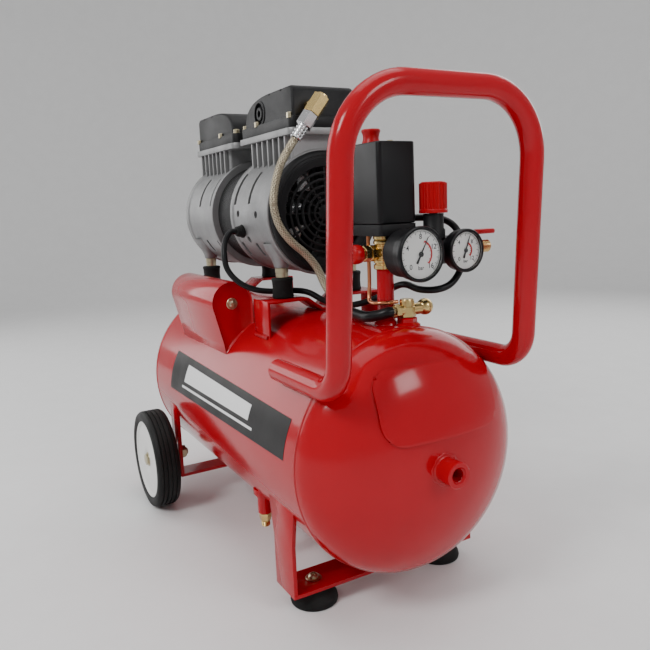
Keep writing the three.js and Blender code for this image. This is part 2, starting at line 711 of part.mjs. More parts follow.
function cylinderHead() {
  const bottom = DECK_ABOVE + GAP;
  const baseTop = bottom + HEAD_BASE;
  const top = bottom + HEAD_RISE;
  const start = DECK_START + 3;
  const end = DECK_START + DECK_LENGTH - 3;
  const halfWidth = DECK_HALF - 3;
  const base = roundedRectangle(start, end, -halfWidth, halfWidth, 8);
  const arch = (inset) => {
    const shape = new THREE.Shape();
    shape.moveTo(start + 10 + inset, bottom + 1 - inset * 2);
    shape.lineTo(end - 1 - inset, bottom + 1 - inset * 2);
    shape.lineTo(end - 1 - inset, top - 4 - inset);
    shape.quadraticCurveTo(end - 1 - inset, top - inset, end - 6 - inset, top - inset);
    shape.lineTo(start + 80, top - inset);
    shape.quadraticCurveTo(start + 12 + inset, top - inset, start + 10 + inset, baseTop + 4);
    return shape;
  };
  const cavityHalf = halfWidth - 2 - HEAD_WALL;
  const port = vec(end - 12, PORT_SIDE, baseTop + 8);
  const removed = [
    slab(arch(HEAD_WALL), 'y', -cavityHalf, -2, 6),
    slab(arch(HEAD_WALL), 'y', 2, cavityHalf, 6),
    bar(port, vec(end + 5, PORT_SIDE, baseTop + 8), 4, 12),
  ];
  return shaped([slab(base, 'z', bottom, baseTop, 4), slab(arch(0), 'y', -halfWidth + 2, halfWidth - 2, 6)],
    removed);
}

const TOP_CLEARANCE = 2;
const BIG_END_RADIUS = 24;
const BIG_END_BORE = 18;
const BIG_END_WIDTH = 10;

function piston() {
  const crown = DECK_ABOVE - TOP_CLEARANCE;
  const bigEnd = STROKE / 2;
  const at = CYLINDER_AT;
  const half = BIG_END_WIDTH / 2;
  const added = [
    bar(vec(at, 0, crown - 6), vec(at, 0, crown), PISTON_RADIUS, 24),
    bar(vec(at - half, 0, bigEnd), vec(at + half, 0, bigEnd), BIG_END_RADIUS, 20),
    block(at - half, at + half, -9, 9, bigEnd + BIG_END_BORE + 2, crown - 3),
  ];
  return shaped(added, [bar(vec(at - 20, 0, bigEnd), vec(at + 20, 0, bigEnd), BIG_END_BORE, 20)]);
}

const shaftEnd = caseEnd - 4;
const FAN_AT = caseEnd - 22;
const FAN_WIDTH = 14;

function rotorShaft() {
  const core = registerEnd - 5;
  const added = [
    bar(vec(-shaftEnd, 0, 0), vec(shaftEnd, 0, 0), SHAFT_RADIUS, 12),
    bar(vec(-core, 0, 0), vec(core, 0, 0), STATOR_BORE - ROTOR_GAP, 24),
  ];
  for (const side of [-1, 1]) {
    const near = side * (chamberStart + 6);
    const far = side * (chamberStart + 14);
    added.push(bar(vec(near, 0, -8), vec(far, 0, -8), 22, 16));
  }
  return shaped(added);
}

function fan() {
  const added = [bar(vec(FAN_AT, 0, 0), vec(FAN_AT + FAN_WIDTH, 0, 0), 16, 16)];
  const blades = 7;
  for (let blade = 0; blade < blades; blade += 1) {
    const vane = new THREE.BoxGeometry(2, 20, FAN_RADIUS - 12);
    vane.rotateZ(degrees(52));
    vane.translate(FAN_AT + FAN_WIDTH / 2, 0, 12 + (FAN_RADIUS - 12) / 2);
    vane.rotateX((2 * Math.PI * blade) / blades);
    added.push(vane);
  }
  const bore = bar(vec(FAN_AT - 10, 0, 0), vec(FAN_AT + 30, 0, 0), SHAFT_RADIUS + GAP, 12);
  return shaped(added, [bore]);
}

function fanCover() {
  const start = caseEnd + GAP;
  const rim = CASE_RADIUS - 2.5;
  const grille = rim * 0.75;
  const profile = [[0, 0], [rim, 0], [rim, 4], [rim - 3, FAN_COVER_DEPTH]];
  profile.push([grille, FAN_COVER_DEPTH], [grille - 2, 4], [0, 4]);
  const removed = [];
  for (let slot = 0; slot < 3; slot += 1) {
    const inner = 13 + slot * 12.4;
    const open = ring(inner, inner + 7.4, vec(start - 5, 0, 0), X, FAN_COVER_DEPTH + 10, 16);
    const spokes = [
      block(start - 6, start + 20, -1.5, 1.5, -CASE_RADIUS, CASE_RADIUS),
      block(start - 6, start + 20, -CASE_RADIUS, CASE_RADIUS, -1.5, 1.5),
    ];
    removed.push(shaped([open], spokes));
  }
  return shaped([turned(profile, vec(start, 0, 0), X, 24)], removed);
}

function stator() {
  const half = registerEnd - GAP;
  return ring(STATOR_BORE, STATOR_RADIUS, vec(-half, 0, 0), X, 2 * half, 24);
}

const pump = group(
  vec(PUMP_CENTRE, 0, pumpAxis),
  part('stator', stator(), laminations),
  part('rotor_shaft', rotorShaft(), steel),
);
for (const [end, turn] of [['front', 0], ['rear', Math.PI]]) {
  const half = group(
    vec(0, 0, 0),
    part(`${end}_crankcase`, crankcase(), castAlloy),
    part(`${end}_cylinder_head`, cylinderHead(), blackCast),
    part(`${end}_piston`, piston(), steel),
    part(`${end}_fan`, fan(), blackPlastic),
    part(`${end}_fan_cover`, fanCover(), blackPlastic),
  );
  half.rotation.z = turn;
  pump.add(half);
}

// ---------------------------------------------------------------- delivery hose and check valve
const headFace = PUMP_CENTRE + DECK_START + DECK_LENGTH - 4;
const elbowHeight = pumpAxis + DECK_ABOVE + GAP + HEAD_BASE + 8;
const elbowBend = vec(headFace + 19, -20, elbowHeight);
const hoseWay = vec(0, -0.62, -0.785).normalize();

function deliveryElbow() {
  const inlet = vec(headFace + GAP, PORT_SIDE, elbowHeight);
  const along = (distance) => elbowBend.clone().addScaledVector(hoseWay, distance);
  return shaped([
    bar(inlet, vec(elbowBend.x, PORT_SIDE, elbowHeight), 6.5, 12),
    bar(along(-11), along(12), 9.5, 6),
    bar(along(11), along(28), 9, 6),
    bar(along(27), along(44), 6, 16),
  ]);
}

const checkValveFoot = tankHeightAt(CHECK_VALVE_Y) + SOCKET_HEIGHT + GAP;
const checkValveBranch = checkValveFoot + 7;

function checkValve() {
  const base = vec(CHECK_VALVE_X, CHECK_VALVE_Y, checkValveFoot);
  const top = vec(CHECK_VALVE_X, CHECK_VALVE_Y, checkValveFoot + 18);
  const inlet = vec(CHECK_VALVE_X, CHECK_VALVE_Y - 15.5, checkValveBranch);
  const nose = vec(CHECK_VALVE_X, CHECK_VALVE_Y + 22, checkValveBranch + 1);
  const ball = new THREE.SphereGeometry(8.5, 12, 8).translate(nose.x, nose.y, nose.z);
  return shaped([bar(base, top, 9, 6), bar(inlet, nose, 6.5, 12), ball]);
}

const hosePoints = [
  [112, -47.6, 479.7],
  [112, -54, 471.6],
  [112, -65, 455],
  [112, -73, 434],
  [112, -76, 412],
  [112, -71, 392],
  [112, -58, 374],
  [112, -42, 360],
  [115, -30, 344],
  [121, -24, 325],
  [132, -19, 309],
  [150, -16, 300.5],
  [175, -18, 298.5],
  [200, -20, 299],
  [213, -14, 302],
  [218, -8, 304.2],
  [218.3, -2.1, 304.4],
];

// ---------------------------------------------------------------- control group
const housing = { x: riserX + REGULATOR_FORWARD, z: manifoldMiddle };
const switchBottom = manifoldTop + GAP;
const switchFront = riserX + SWITCH_FORWARD;
const switchRear = switchFront - SWITCH_LENGTH;
const knobX = switchFront - 44;
const lidTop = switchBottom + SWITCH_HEIGHT;
const gaugeBack = housing.x + 16 + GAP;

const RISER_WELD = 1.8;

function riser() {
  const foot = vec(riserX, 0, tankTop - 10);
  const top = vec(riserX, 0, riserTop);
  const collarTop = vec(riserX, 0, tankTop + 6);
  const pipe = bar(foot, top, RISER_RADIUS, 20);
  const collar = bar(foot, collarTop, RISER_RADIUS + RISER_WELD, 20);
  const bore = bar(vec(riserX, 0, tankTop - 20), vec(riserX, 0, riserTop + 5), BORE_IN_TANK, 12);
  return shaped([pipe, collar], [tankRoller(), bore]);
}

function airManifold() {
  const bottom = vec(riserX, 0, riserTop + GAP);
  const top = vec(riserX, 0, manifoldTop);
  const middle = vec(riserX, 0, manifoldMiddle);
  const bore = bar(vec(riserX, 0, riserTop - 5), vec(riserX, 0, manifoldMiddle), BORE_IN_TANK, 12);
  return shaped([
    bar(bottom, top, MANIFOLD_RADIUS, 24),
    bar(middle, vec(housing.x - REGULATOR_RADIUS - GAP, 0, manifoldMiddle), 8, 16),
    bar(middle, vec(riserX, -18, manifoldMiddle), 8, 6),
  ], [bore]);
}

const HOUSING_HALF = 16;
const REGULATOR_END = 58;

function regulatorBody() {
  const { x, z } = housing;
  const neckTop = switchBottom + 23;
  const front = x + HOUSING_HALF;
  const stemTop = neckTop + 8;
  return shaped([
    bar(vec(x - 1, TANK_GAUGE_SIDE, z), vec(front, TANK_GAUGE_SIDE, z), GAUGE_HOUSING_RADIUS, 32),
    bar(vec(x, TANK_GAUGE_SIDE - 15, z), vec(x, REGULATOR_END, z), REGULATOR_RADIUS, 24),
    bar(vec(x + 5, OUTLET_GAUGE_SIDE, z), vec(front, OUTLET_GAUGE_SIDE, z), 8, 16),
    bar(vec(x, REGULATOR_KNOB_SIDE, z), vec(x, REGULATOR_KNOB_SIDE, neckTop - 4), 10, 20),
    bar(vec(x, REGULATOR_KNOB_SIDE, z), vec(x, REGULATOR_KNOB_SIDE, stemTop), 4, 12),
  ]);
}

const regulatorKnobFoot = switchBottom + 19.5;
const REGULATOR_KNOB_HEIGHT = 30;

function regulatorKnob() {
  const r = REGULATOR_KNOB_RADIUS;
  const h = REGULATOR_KNOB_HEIGHT;
  const profile = [[0, 0], [r, 0], [r, 2], [r - 1, 4], [r - 0.6, h - 1.5], [r - 2, h], [0, h]];
  const socket = bar(vec(0, 0, -5), vec(0, 0, 14), 4 + RUNNING_GAP, 12);
  return shaped([turned(profile, vec(0, 0, 0), Z, 32)], [socket]);
}

// Drawn facing +X with the back of the case at x = 0.
function gaugeCase(radius) {
  const dial = GAUGE_DEPTH - 3.5;
  const profile = [[0, 0], [radius - 1, 0], [radius - 0.5, 3], [radius - 0.5, GAUGE_DEPTH - 6]];
  profile.push([radius + 0.5, GAUGE_DEPTH - 5], [radius + 0.5, GAUGE_DEPTH - 0.8]);
  profile.push([radius - 0.5, GAUGE_DEPTH], [radius - 2.5, GAUGE_DEPTH], [radius - 2.5, dial], [0, dial]);
  return turned(profile, vec(0, 0, 0), X, 20);
}

function gaugeNeedle(radius) {
  const near = GAUGE_DEPTH - 3.2;
  const far = near + 1.2;
  const pointer = polygon([
    [-1.3, -radius * 0.4],
    [1.3, -radius * 0.4],
    [0.7, 0],
    [0.4, radius * 0.72],
    [-0.4, radius * 0.72],
    [-0.7, 0],
  ]);
  return shaped([slab(pointer, 'x', near, far), bar(vec(near, 0, 0), vec(far, 0, 0), radius * 0.1, 12)]);
}

function gauge(name, radius, side, reading) {
  const needle = part(`${name}_needle`, gaugeNeedle(radius), blackPlastic);
  needle.rotation.x = -degrees(reading);
  return group(
    vec(gaugeBack, side, housing.z),
    part(name, gaugeCase(radius), blackPlastic),
    needle,
  );
}

function switchBase() {
  const outline = roundedRectangle(switchRear, switchFront, -SWITCH_HALF, SWITCH_HALF, 4);
  const inlet = vec(switchRear + 3, 0, switchBottom + 5.5);
  const gland = bar(inlet, inlet.clone().add(vec(-14, 0, 0)), 5, 12);
  return shaped([slab(outline, 'z', switchBottom, switchBottom + SWITCH_BASE, 4), gland]);
}

function switchCover() {
  const bottom = switchBottom + SWITCH_BASE + GAP;
  const wall = SWITCH_WALL;
  const outside = roundedRectangle(switchRear, switchFront, -SWITCH_HALF, SWITCH_HALF, 5);
  const inside = roundedRectangle(switchRear + wall, switchFront - wall, -SWITCH_HALF + wall,
    SWITCH_HALF - wall, 3);
  return shaped([slab(outside, 'z', bottom, lidTop, 4)], [
    slab(inside, 'z', bottom - 5, lidTop - wall, 4),
    bar(vec(knobX, 0, lidTop - 10), vec(knobX, 0, lidTop + 5), 4 + RUNNING_GAP, 16),
  ]);
}

function switchKnob() {
  const base = 1;
  const profile = [[0, base], [9.5, base], [8, 6], [8.4, 10], [9.5, 13], [9.5, 15], [0, 15]];
  const stem = bar(vec(0, 0, -20), vec(0, 0, 3), 4, 16);
  return shaped([turned(profile, vec(0, 0, 0), Z, 24), stem]);
}

function safetyValve() {
  const from = -18 - GAP;
  const y = (distance) => vec(riserX, from - distance, manifoldMiddle);
  const profile = [[0, 0], [8.5, 0], [9.5, 4], [9.5, 8], [7, 11], [0, 11]];
  const cap = turned(profile, y(9.7), Y.clone().negate(), 20);
  return shaped([bar(y(0), y(10), 8, 6), cap], [bar(y(18), y(30), 1.5 + RUNNING_GAP, 10)]);
}

function safetyRing() {
  const out = -18 - GAP - 9.7 - 11;
  const loop = new THREE.TorusGeometry(7, 0.9, 6, 16);
  loop.rotateY(Math.PI / 2);
  loop.translate(riserX, out - 9, manifoldMiddle);
  const stem = bar(vec(riserX, out + 2, manifoldMiddle), vec(riserX, out - 2.6, manifoldMiddle), 1.5, 10);
  return shaped([stem, loop]);
}

const valveX = housing.x - 4;

function outletValve() {
  const { z } = housing;
  const start = REGULATOR_END + GAP;
  const y = (distance) => vec(valveX, start + distance, z);
  const added = [
    bar(y(0), y(14), 7.5, 6),
    bar(y(13), y(34), 7.2, 20),
    bar(y(33), y(40), 7.5, 6),
    bar(y(39), y(54), 6.5, 20),
    bar(y(24), y(24).add(vec(0, 0, 12.5)), 3.5, 12),
  ];
  return shaped(added, [bar(y(-5), y(60), 3.5, 12)]);
}

function outletLever() {
  const foot = housing.z + 12.5 + GAP;
  const middle = REGULATOR_END + GAP + 24;
  const grip = roundedRectangle(valveX - 5, valveX + 5, middle - 6, middle + 38, 4.5);
  return slab(grip, 'z', foot, foot + 3, 5);
}

const unloaderPoints = [
  [riserX - 12, -11, switchBottom - 0.6],
  [riserX - 12, -11, switchBottom - 19],
  [riserX - 12, -11, tankTop + 45],
  [riserX - 12, -11.5, tankTop + 32],
  [riserX - 9, -13.5, tankTop + 24],
  [riserX - 1, -14.5, tankTop + 22.5],
  [riserX + 6, -12.5, tankTop + 22.8],
  [CHECK_VALVE_X - 5.3, CHECK_VALVE_Y - 20, tankTop + 23],
  [CHECK_VALVE_X - 4.9, CHECK_VALVE_Y - 13.5, tankTop + 23],
  [CHECK_VALVE_X - 4.2, CHECK_VALVE_Y - 8, tankTop + 23],
];

const leadPoints = [
  [3, -77, 384.2],
  [3, -83, 383.6],
  [7, -92, 374],
  [14, -97, 358],
  [18, -96, 342],
  [23, -86, 327],
  [29, -70, 317],
  [36, -51, 313],
  [46, -31, 313],
  [64, -17, 311.5],
  [92, -9, 303],
  [120, -2, 300],
  [145, 7, 304],
  [168, 16, 313],
  [188, 21, 324],
  [206, 22, 328],
  [222, 27, 324],
  [236, 38, 324],
  [239, 52, 328],
  [239, 63, 338],
  [239, 69, 352],
  [239, 68, 368],
  [236, 63, 382],
  [228, 60, 389],
  [217, 54, 393],
  [207, 42, 394],
  [201, 31, 394],
  [200, 22.2, 394],
];

const LEAD_FORWARD = 61;
const LEAD_BELOW_AXIS = 17.9;

function leadGland() {
  const x = PUMP_CENTRE + LEAD_FORWARD;
  const z = pumpAxis - LEAD_BELOW_AXIS;
  const skinSide = -Math.sqrt(CASE_RADIUS ** 2 - LEAD_BELOW_AXIS ** 2);
  const root = vec(x, skinSide + 1.8, z);
  const tip = vec(x, skinSide - 7.7, z);
  const skin = bar(vec(PUMP_CENTRE, 0, pumpAxis), vec(x + 20, 0, pumpAxis), CASE_RADIUS + GAP, 30);
  return shaped([bar(root, tip, 8, 16, 5.5)], [skin]);
}

function drainValve() {
  const top = tankUndersideAt(DRAIN_Y) - DRAIN_SOCKET_DROP - GAP;
  const at = (z) => vec(DRAIN_X, DRAIN_Y, z);
  return shaped([bar(at(top - 9), at(top), 7, 6)], [bar(at(top - 20), at(top - 5), 3 + RUNNING_GAP, 12)]);
}

function drainScrew() {
  const top = tankUndersideAt(DRAIN_Y) - DRAIN_SOCKET_DROP - GAP;
  const at = (z) => vec(DRAIN_X, DRAIN_Y, z);
  return shaped([bar(at(top - 12), at(top - 5.4), 3, 12), bar(at(top - 16), at(top - 9.6), 5, 12)]);
}

tank.add(
  part('drain_valve', drainValve(), brass),
  part('drain_screw', drainScrew(), brass),
  part('lead_gland', leadGland(), blackPlastic),
  part('delivery_elbow', deliveryElbow(), brass),
  part('delivery_hose', cord(hosePoints, HOSE_RADIUS, 18, 8), braid),
  part('check_valve', checkValve(), brass),
  part('unloader_tube', cord(unloaderPoints, UNLOADER_RADIUS, 12), copper),
  part('motor_lead', cord(leadPoints, LEAD_RADIUS, 34), rubber),
  part('riser_pipe', riser(), redPaint),
  part('air_manifold', airManifold(), brass),
  part('switch_base', switchBase(), blackPlastic),
  part('switch_cover', switchCover(), blackPlastic),
  group(vec(knobX, 0, lidTop), part('switch_knob', switchKnob(), redPlastic)),
  part('regulator_body', regulatorBody(), blackPlastic),
  group(vec(housing.x, REGULATOR_KNOB_SIDE, regulatorKnobFoot),
    part('regulator_knob', regulatorKnob(), redPlastic)),
  gauge('tank_gauge', TANK_GAUGE_RADIUS, TANK_GAUGE_SIDE, 29),
  gauge('outlet_gauge', OUTLET_GAUGE_RADIUS, OUTLET_GAUGE_SIDE, 20),
  part('safety_valve', safetyValve(), brass),
  part('safety_pull_ring', safetyRing(), steel),
  part('outlet_valve', outletValve(), brass),
  part('outlet_lever', outletLever(), redPlastic),
);

// ---------------------------------------------------------------- the whole compressor
const compressor = new THREE.Group();
const layout = group(vec(0, 0, 0), tank, pump);
const footprint = new THREE.Box3().setFromObject(layout).getCenter(vec(0, 0, 0));
layout.position.set(-footprint.x, -footprint.y, 0);
compressor.add(layout);

export default compressor;
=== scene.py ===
"""A portable air compressor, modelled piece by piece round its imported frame."""
import json
import math

import bmesh
import bpy
from bpy.props import FloatProperty, FloatVectorProperty, IntProperty, PointerProperty
from mathutils import Matrix, Vector

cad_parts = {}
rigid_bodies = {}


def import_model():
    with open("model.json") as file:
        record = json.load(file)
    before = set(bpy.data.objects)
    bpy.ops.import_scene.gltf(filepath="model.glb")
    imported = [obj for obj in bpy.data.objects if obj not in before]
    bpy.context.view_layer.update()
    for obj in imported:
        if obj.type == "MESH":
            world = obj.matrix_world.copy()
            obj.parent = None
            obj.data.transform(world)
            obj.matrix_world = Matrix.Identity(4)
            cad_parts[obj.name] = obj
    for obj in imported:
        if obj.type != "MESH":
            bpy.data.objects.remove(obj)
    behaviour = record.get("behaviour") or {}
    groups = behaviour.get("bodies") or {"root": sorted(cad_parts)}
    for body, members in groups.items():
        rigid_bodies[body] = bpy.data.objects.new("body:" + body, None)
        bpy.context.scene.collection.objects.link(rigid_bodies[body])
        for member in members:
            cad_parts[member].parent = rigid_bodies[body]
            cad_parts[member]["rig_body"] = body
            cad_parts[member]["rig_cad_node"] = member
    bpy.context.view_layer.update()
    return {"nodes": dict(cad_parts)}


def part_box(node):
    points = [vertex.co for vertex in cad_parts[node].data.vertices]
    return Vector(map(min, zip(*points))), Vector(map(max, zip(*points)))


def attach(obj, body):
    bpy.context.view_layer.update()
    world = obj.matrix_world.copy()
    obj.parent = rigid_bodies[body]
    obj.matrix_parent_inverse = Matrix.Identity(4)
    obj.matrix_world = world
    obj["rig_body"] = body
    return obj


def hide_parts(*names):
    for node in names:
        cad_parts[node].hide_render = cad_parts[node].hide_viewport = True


bl_info = {
    "name": "Portable air compressor",
    "version": (1, 0, 0),
    "blender": (4, 5, 0),
    "location": "3D View > Sidebar > Compressor",
    "description": "Models a tank, pump and controls round the packed compressor frame",
    "category": "Add Mesh",
}

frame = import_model()

MM = 0.001
TURN = 2 * math.pi
MERGE_WITHIN = 0.01 * MM
CUTTING_SCALE = 100
X = Vector((1, 0, 0))
Y = Vector((0, 1, 0))
Z = Vector((0, 0, 1))

# ---------------------------------------------------------------- places, in millimetres
# x is measured from the tank's middle, y from its centre plane and z from the floor.
BARREL_LOW, BARREL_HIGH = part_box("tank_barrel")
TANK_MIDDLE = (BARREL_LOW.x + BARREL_HIGH.x) / 2
FRONT_SEAM = (BARREL_HIGH.x - BARREL_LOW.x) / 2 / MM
TANK_RADIUS = BARREL_HIGH.y / MM
TANK_AXIS = BARREL_LOW.z / MM + TANK_RADIUS
TANK_TOP = TANK_AXIS + TANK_RADIUS
HEAD_DEPTH = (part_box("tank_front_head")[1].x - BARREL_HIGH.x) / MM + 1
WHEEL_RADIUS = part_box("tyre_left")[1].z / MM / 2
AXLE_X = ((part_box("tyre_left")[0].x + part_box("tyre_left")[1].x) / 2 - TANK_MIDDLE) / MM
PUMP_X = ((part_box("stator")[0].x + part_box("stator")[1].x) / 2 - TANK_MIDDLE) / MM
PUMP_AXIS = (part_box("stator")[0].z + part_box("stator")[1].z) / 2 / MM
DECK_TOP = 92
HEAD_FLOOR = DECK_TOP + 0.3
RISER_X = 202
MANIFOLD_Z = 361.9
SWITCH_FLOOR = 378.9
SWITCH_TOP = 466.9
GAUGE_BACK = 246.3
DRAIN_X, DRAIN_Y = 85, -95
CHECK_X, CHECK_Y = 218.3, 14


def at(x, y, z):
    """A point given in millimetres from the tank's middle, as a place in the frame."""
    return Vector((x * MM + TANK_MIDDLE, y * MM, z * MM))


def in_pump(x, y, z):
    """A point given in millimetres from the middle of the pump's shaft."""
    return at(PUMP_X + x, y, PUMP_AXIS + z)


def tank_height(side):
    """The barrel's top surface above the floor, at that distance from its centre plane."""
    return TANK_AXIS + math.sqrt(TANK_RADIUS**2 - side**2)


# ---------------------------------------------------------------- modelling, step by step
def clear_selection():
    if bpy.context.object and bpy.context.object.mode != "OBJECT":
        bpy.ops.object.mode_set(mode="OBJECT")
    bpy.ops.object.select_all(action="DESELECT")


def pick(*pieces):
    """Selects these pieces alone and makes the first one active."""
    clear_selection()
    for piece in pieces:
        piece.select_set(True)
    bpy.context.view_layer.objects.active = pieces[0]


def draw_line(points):
    """Extrudes one vertex along the points and stays in edit mode."""
    clear_selection()
    bpy.ops.mesh.primitive_plane_add(size=MM)
    bpy.ops.object.mode_set(mode="EDIT")
    bpy.ops.mesh.select_all(action="SELECT")
    bpy.ops.mesh.merge(type="CENTER")
    bpy.ops.transform.translate(value=points[0])
    for before, after in zip(points, points[1:]):
        bpy.ops.mesh.extrude_region_move(TRANSFORM_OT_translate={"value": after - before})


def close_mesh():
    """Merges doubles, turns the faces outwards and leaves edit mode."""
    bpy.ops.mesh.select_all(action="SELECT")
    bpy.ops.mesh.remove_doubles(threshold=MERGE_WITHIN)
    bpy.ops.mesh.normals_make_consistent(inside=False)
    bpy.ops.object.mode_set(mode="OBJECT")
    return bpy.context.object


def turned(profile, base, direction, steps=64):
    """Spins [radius, distance] pairs in millimetres round `direction` from `base`."""
    direction = Vector(direction).normalized()
    across = X if abs(direction.z) > 0.9 else Z
    across = (across - direction * across.dot(direction)).normalized()
    draw_line([base + across * r * MM + direction * d * MM for r, d in profile])
    bpy.ops.mesh.select_all(action="SELECT")
    bpy.ops.mesh.spin(steps=steps, angle=TURN, center=base, axis=direction)
    return close_mesh()


def rod(base, tip, radius, steps=48, ease=0.6):
    """A round or many-sided bar with eased rims, in millimetres of radius."""
    length = (tip - base).length / MM
    shoulder = radius - ease
    rims = [[shoulder, 0], [radius, ease], [radius, length - ease], [shoulder, length]]
    profile = [[0, 0], *rims, [0, length]]
    return turned(profile, base, tip - base, steps)


def plate(outline, thickness):
    """Fills a closed outline and extrudes it by the vector `thickness`."""
    draw_line([*outline, outline[0]])
    bpy.ops.mesh.select_all(action="SELECT")
    bpy.ops.mesh.remove_doubles(threshold=MERGE_WITHIN)
    bpy.ops.mesh.edge_face_add()
    bpy.ops.mesh.extrude_region_move(TRANSFORM_OT_translate={"value": thickness})
    return close_mesh()


def block(low, high):
    clear_selection()
    bpy.ops.mesh.primitive_cube_add(size=1, location=(low + high) / 2, scale=high - low)
    bpy.ops.object.transform_apply(location=True, rotation=True, scale=True)
    return bpy.context.object


def swept(points, radius, sides=24):
    """A round tube along a line of points; the radius is in millimetres."""
    draw_line(points)
    bpy.ops.object.mode_set(mode="OBJECT")
    bpy.ops.object.convert(target="CURVE")
    curve = bpy.context.object.data
    curve.bevel_depth = radius * MM
    curve.bevel_resolution = sides // 4 - 1
    curve.use_fill_caps = True
    bpy.ops.object.convert(target="MESH")
    bpy.ops.object.mode_set(mode="EDIT")
    return close_mesh()


def apply_modifier(piece, kind, **settings):
    pick(piece)
    modifier = piece.modifiers.new(kind.title(), kind)
    for key, value in settings.items():
        setattr(modifier, key, value)
    bpy.ops.object.modifier_apply(modifier=modifier.name)
    return piece


def eased(piece, width, segments=2, angle=35):
    """Rounds the edges sharper than `angle` degrees by a bevel `width` millimetres wide."""
    return apply_modifier(
        piece,
        "BEVEL",
        width=width * MM,
        segments=segments,
        limit_method="ANGLE",
        angle_limit=math.radians(angle),
        use_clamp_overlap=True,
        harden_normals=False,
    )


def ease_upright_edges(piece, width, segments=6, direction=Z):
    """Rounds only the edges that run along `direction`, as the corners of a box are."""
    pick(piece)
    bpy.ops.object.mode_set(mode="EDIT")
    bpy.ops.mesh.select_mode(type="EDGE")
    bpy.ops.mesh.select_all(action="DESELECT")
    mesh = bmesh.from_edit_mesh(piece.data)
    for edge in mesh.edges:
        along = (edge.verts[1].co - edge.verts[0].co).normalized()
        edge.select_set(abs(along.dot(direction)) > 0.99)
    bmesh.update_edit_mesh(piece.data)
    bpy.ops.mesh.bevel(offset=width * MM, segments=segments, affect="EDGES")
    bpy.ops.mesh.select_mode(type="VERT")
    bpy.ops.object.mode_set(mode="OBJECT")
    return piece


def scaled(pieces, factor):
    """Scales pieces about the origin and applies it to their meshes."""
    pick(*pieces)
    for piece in pieces:
        piece.scale = (factor,) * 3
    bpy.ops.object.transform_apply(location=True, rotation=True, scale=True)


def combined(piece, tool, operation="UNION"):
    """Joins or cuts two solids, and the second one is used up; they are enlarged meanwhile."""
    scaled((piece, tool), CUTTING_SCALE)
    apply_modifier(piece, "BOOLEAN", operation=operation, solver="EXACT", object=tool)
    bpy.data.objects.remove(tool)
    scaled((piece,), 1 / CUTTING_SCALE)
    return piece


def joined(pieces):
    pick(*pieces)
    bpy.ops.object.join()
    return bpy.context.object


def copied(piece, turn, centre):
    """A copy with its own mesh, turned about an upright line through a point."""
    pick(piece)
    bpy.ops.object.duplicate(linked=False)
    bpy.ops.transform.rotate(value=turn, orient_axis="Z", center_override=centre)
    bpy.ops.object.transform_apply(location=True, rotation=True, scale=True)
    return bpy.context.object


def refined_copy(node, ease):
    """A copy of a frame node with merged corners and eased edges."""
    pick(frame["nodes"][node])
    bpy.ops.object.duplicate(linked=False)
    piece = bpy.context.object
    bpy.ops.object.parent_clear(type="CLEAR_KEEP_TRANSFORM")
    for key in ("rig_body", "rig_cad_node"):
        if key in piece:
            del piece[key]
    bpy.ops.object.mode_set(mode="EDIT")
    bpy.ops.mesh.select_all(action="SELECT")
    bpy.ops.mesh.remove_doubles(threshold=MERGE_WITHIN)
    bpy.ops.mesh.dissolve_limited(angle_limit=math.radians(0.5))
    bpy.ops.object.mode_set(mode="OBJECT")
    return eased(piece, ease, 2)


def placed(piece, name, finish, body="frame", replaces=(), smooth=38):
    """Names a finished piece, gives it its finish and hangs it on its body."""
    pick(piece)
    bpy.ops.object.transform_apply(location=True, rotation=True, scale=True)
    bpy.ops.object.shade_smooth_by_angle(angle=math.radians(smooth))
    piece.name = name
    piece.data.name = name
    piece.data.materials.clear()
    piece.data.materials.append(finish)
    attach(piece, body)
    if replaces:
        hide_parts(*replaces)
    return piece


def smooth_route(points, steps=6):
    """Points on the centripetal curve that runs through the chosen ones."""
    ends = [points[0] * 2 - points[1], *points, points[-1] * 2 - points[-2]]
    route = []
    for a, b, c, d in zip(ends, ends[1:], ends[2:], ends[3:]):
        ab, bc, cd = (max((q - p).length ** 0.5, 1e-6) for p, q in ((a, b), (b, c), (c, d)))
        leave = ((b - a) / ab - (c - a) / (ab + bc) + (c - b) / bc) * bc
        arrive = ((c - b) / bc - (d - b) / (bc + cd) + (d - c) / cd) * bc
        for step in range(steps):
            t = step / steps
            route.append(
                b * (2 * t**3 - 3 * t**2 + 1)
                + leave * (t**3 - 2 * t**2 + t)
                + c * (3 * t**2 - 2 * t**3)
                + arrive * (t**3 - t**2)
            )
    return [*route, points[-1]]


# ---------------------------------------------------------------- effects shared by the finishes
def new_group(name, inputs, outputs):
    group = bpy.data.node_groups.new(name, "ShaderNodeTree")
    for label, value in inputs.items():
        socket = group.interface.new_socket(label, in_out="INPUT", socket_type="NodeSocketFloat")
        socket.default_value = value
    for label, kind in outputs.items():
        group.interface.new_socket(label, in_out="OUTPUT", socket_type=f"NodeSocket{kind}")
    return group, group.nodes.new("NodeGroupInput"), group.nodes.new("NodeGroupOutput")


def node(tree, kind, links=(), **settings):
    """Adds a shader node, sets its properties and inputs, and links the named sockets."""
    made = tree.nodes.new(f"ShaderNode{kind}")
    for key, value in settings.items():
        if key in made.inputs:
            made.inputs[key].default_value = value
        else:
            setattr(made, key, value)
    for socket, source in links:
        tree.links.new(source, made.inputs[socket])
    return made


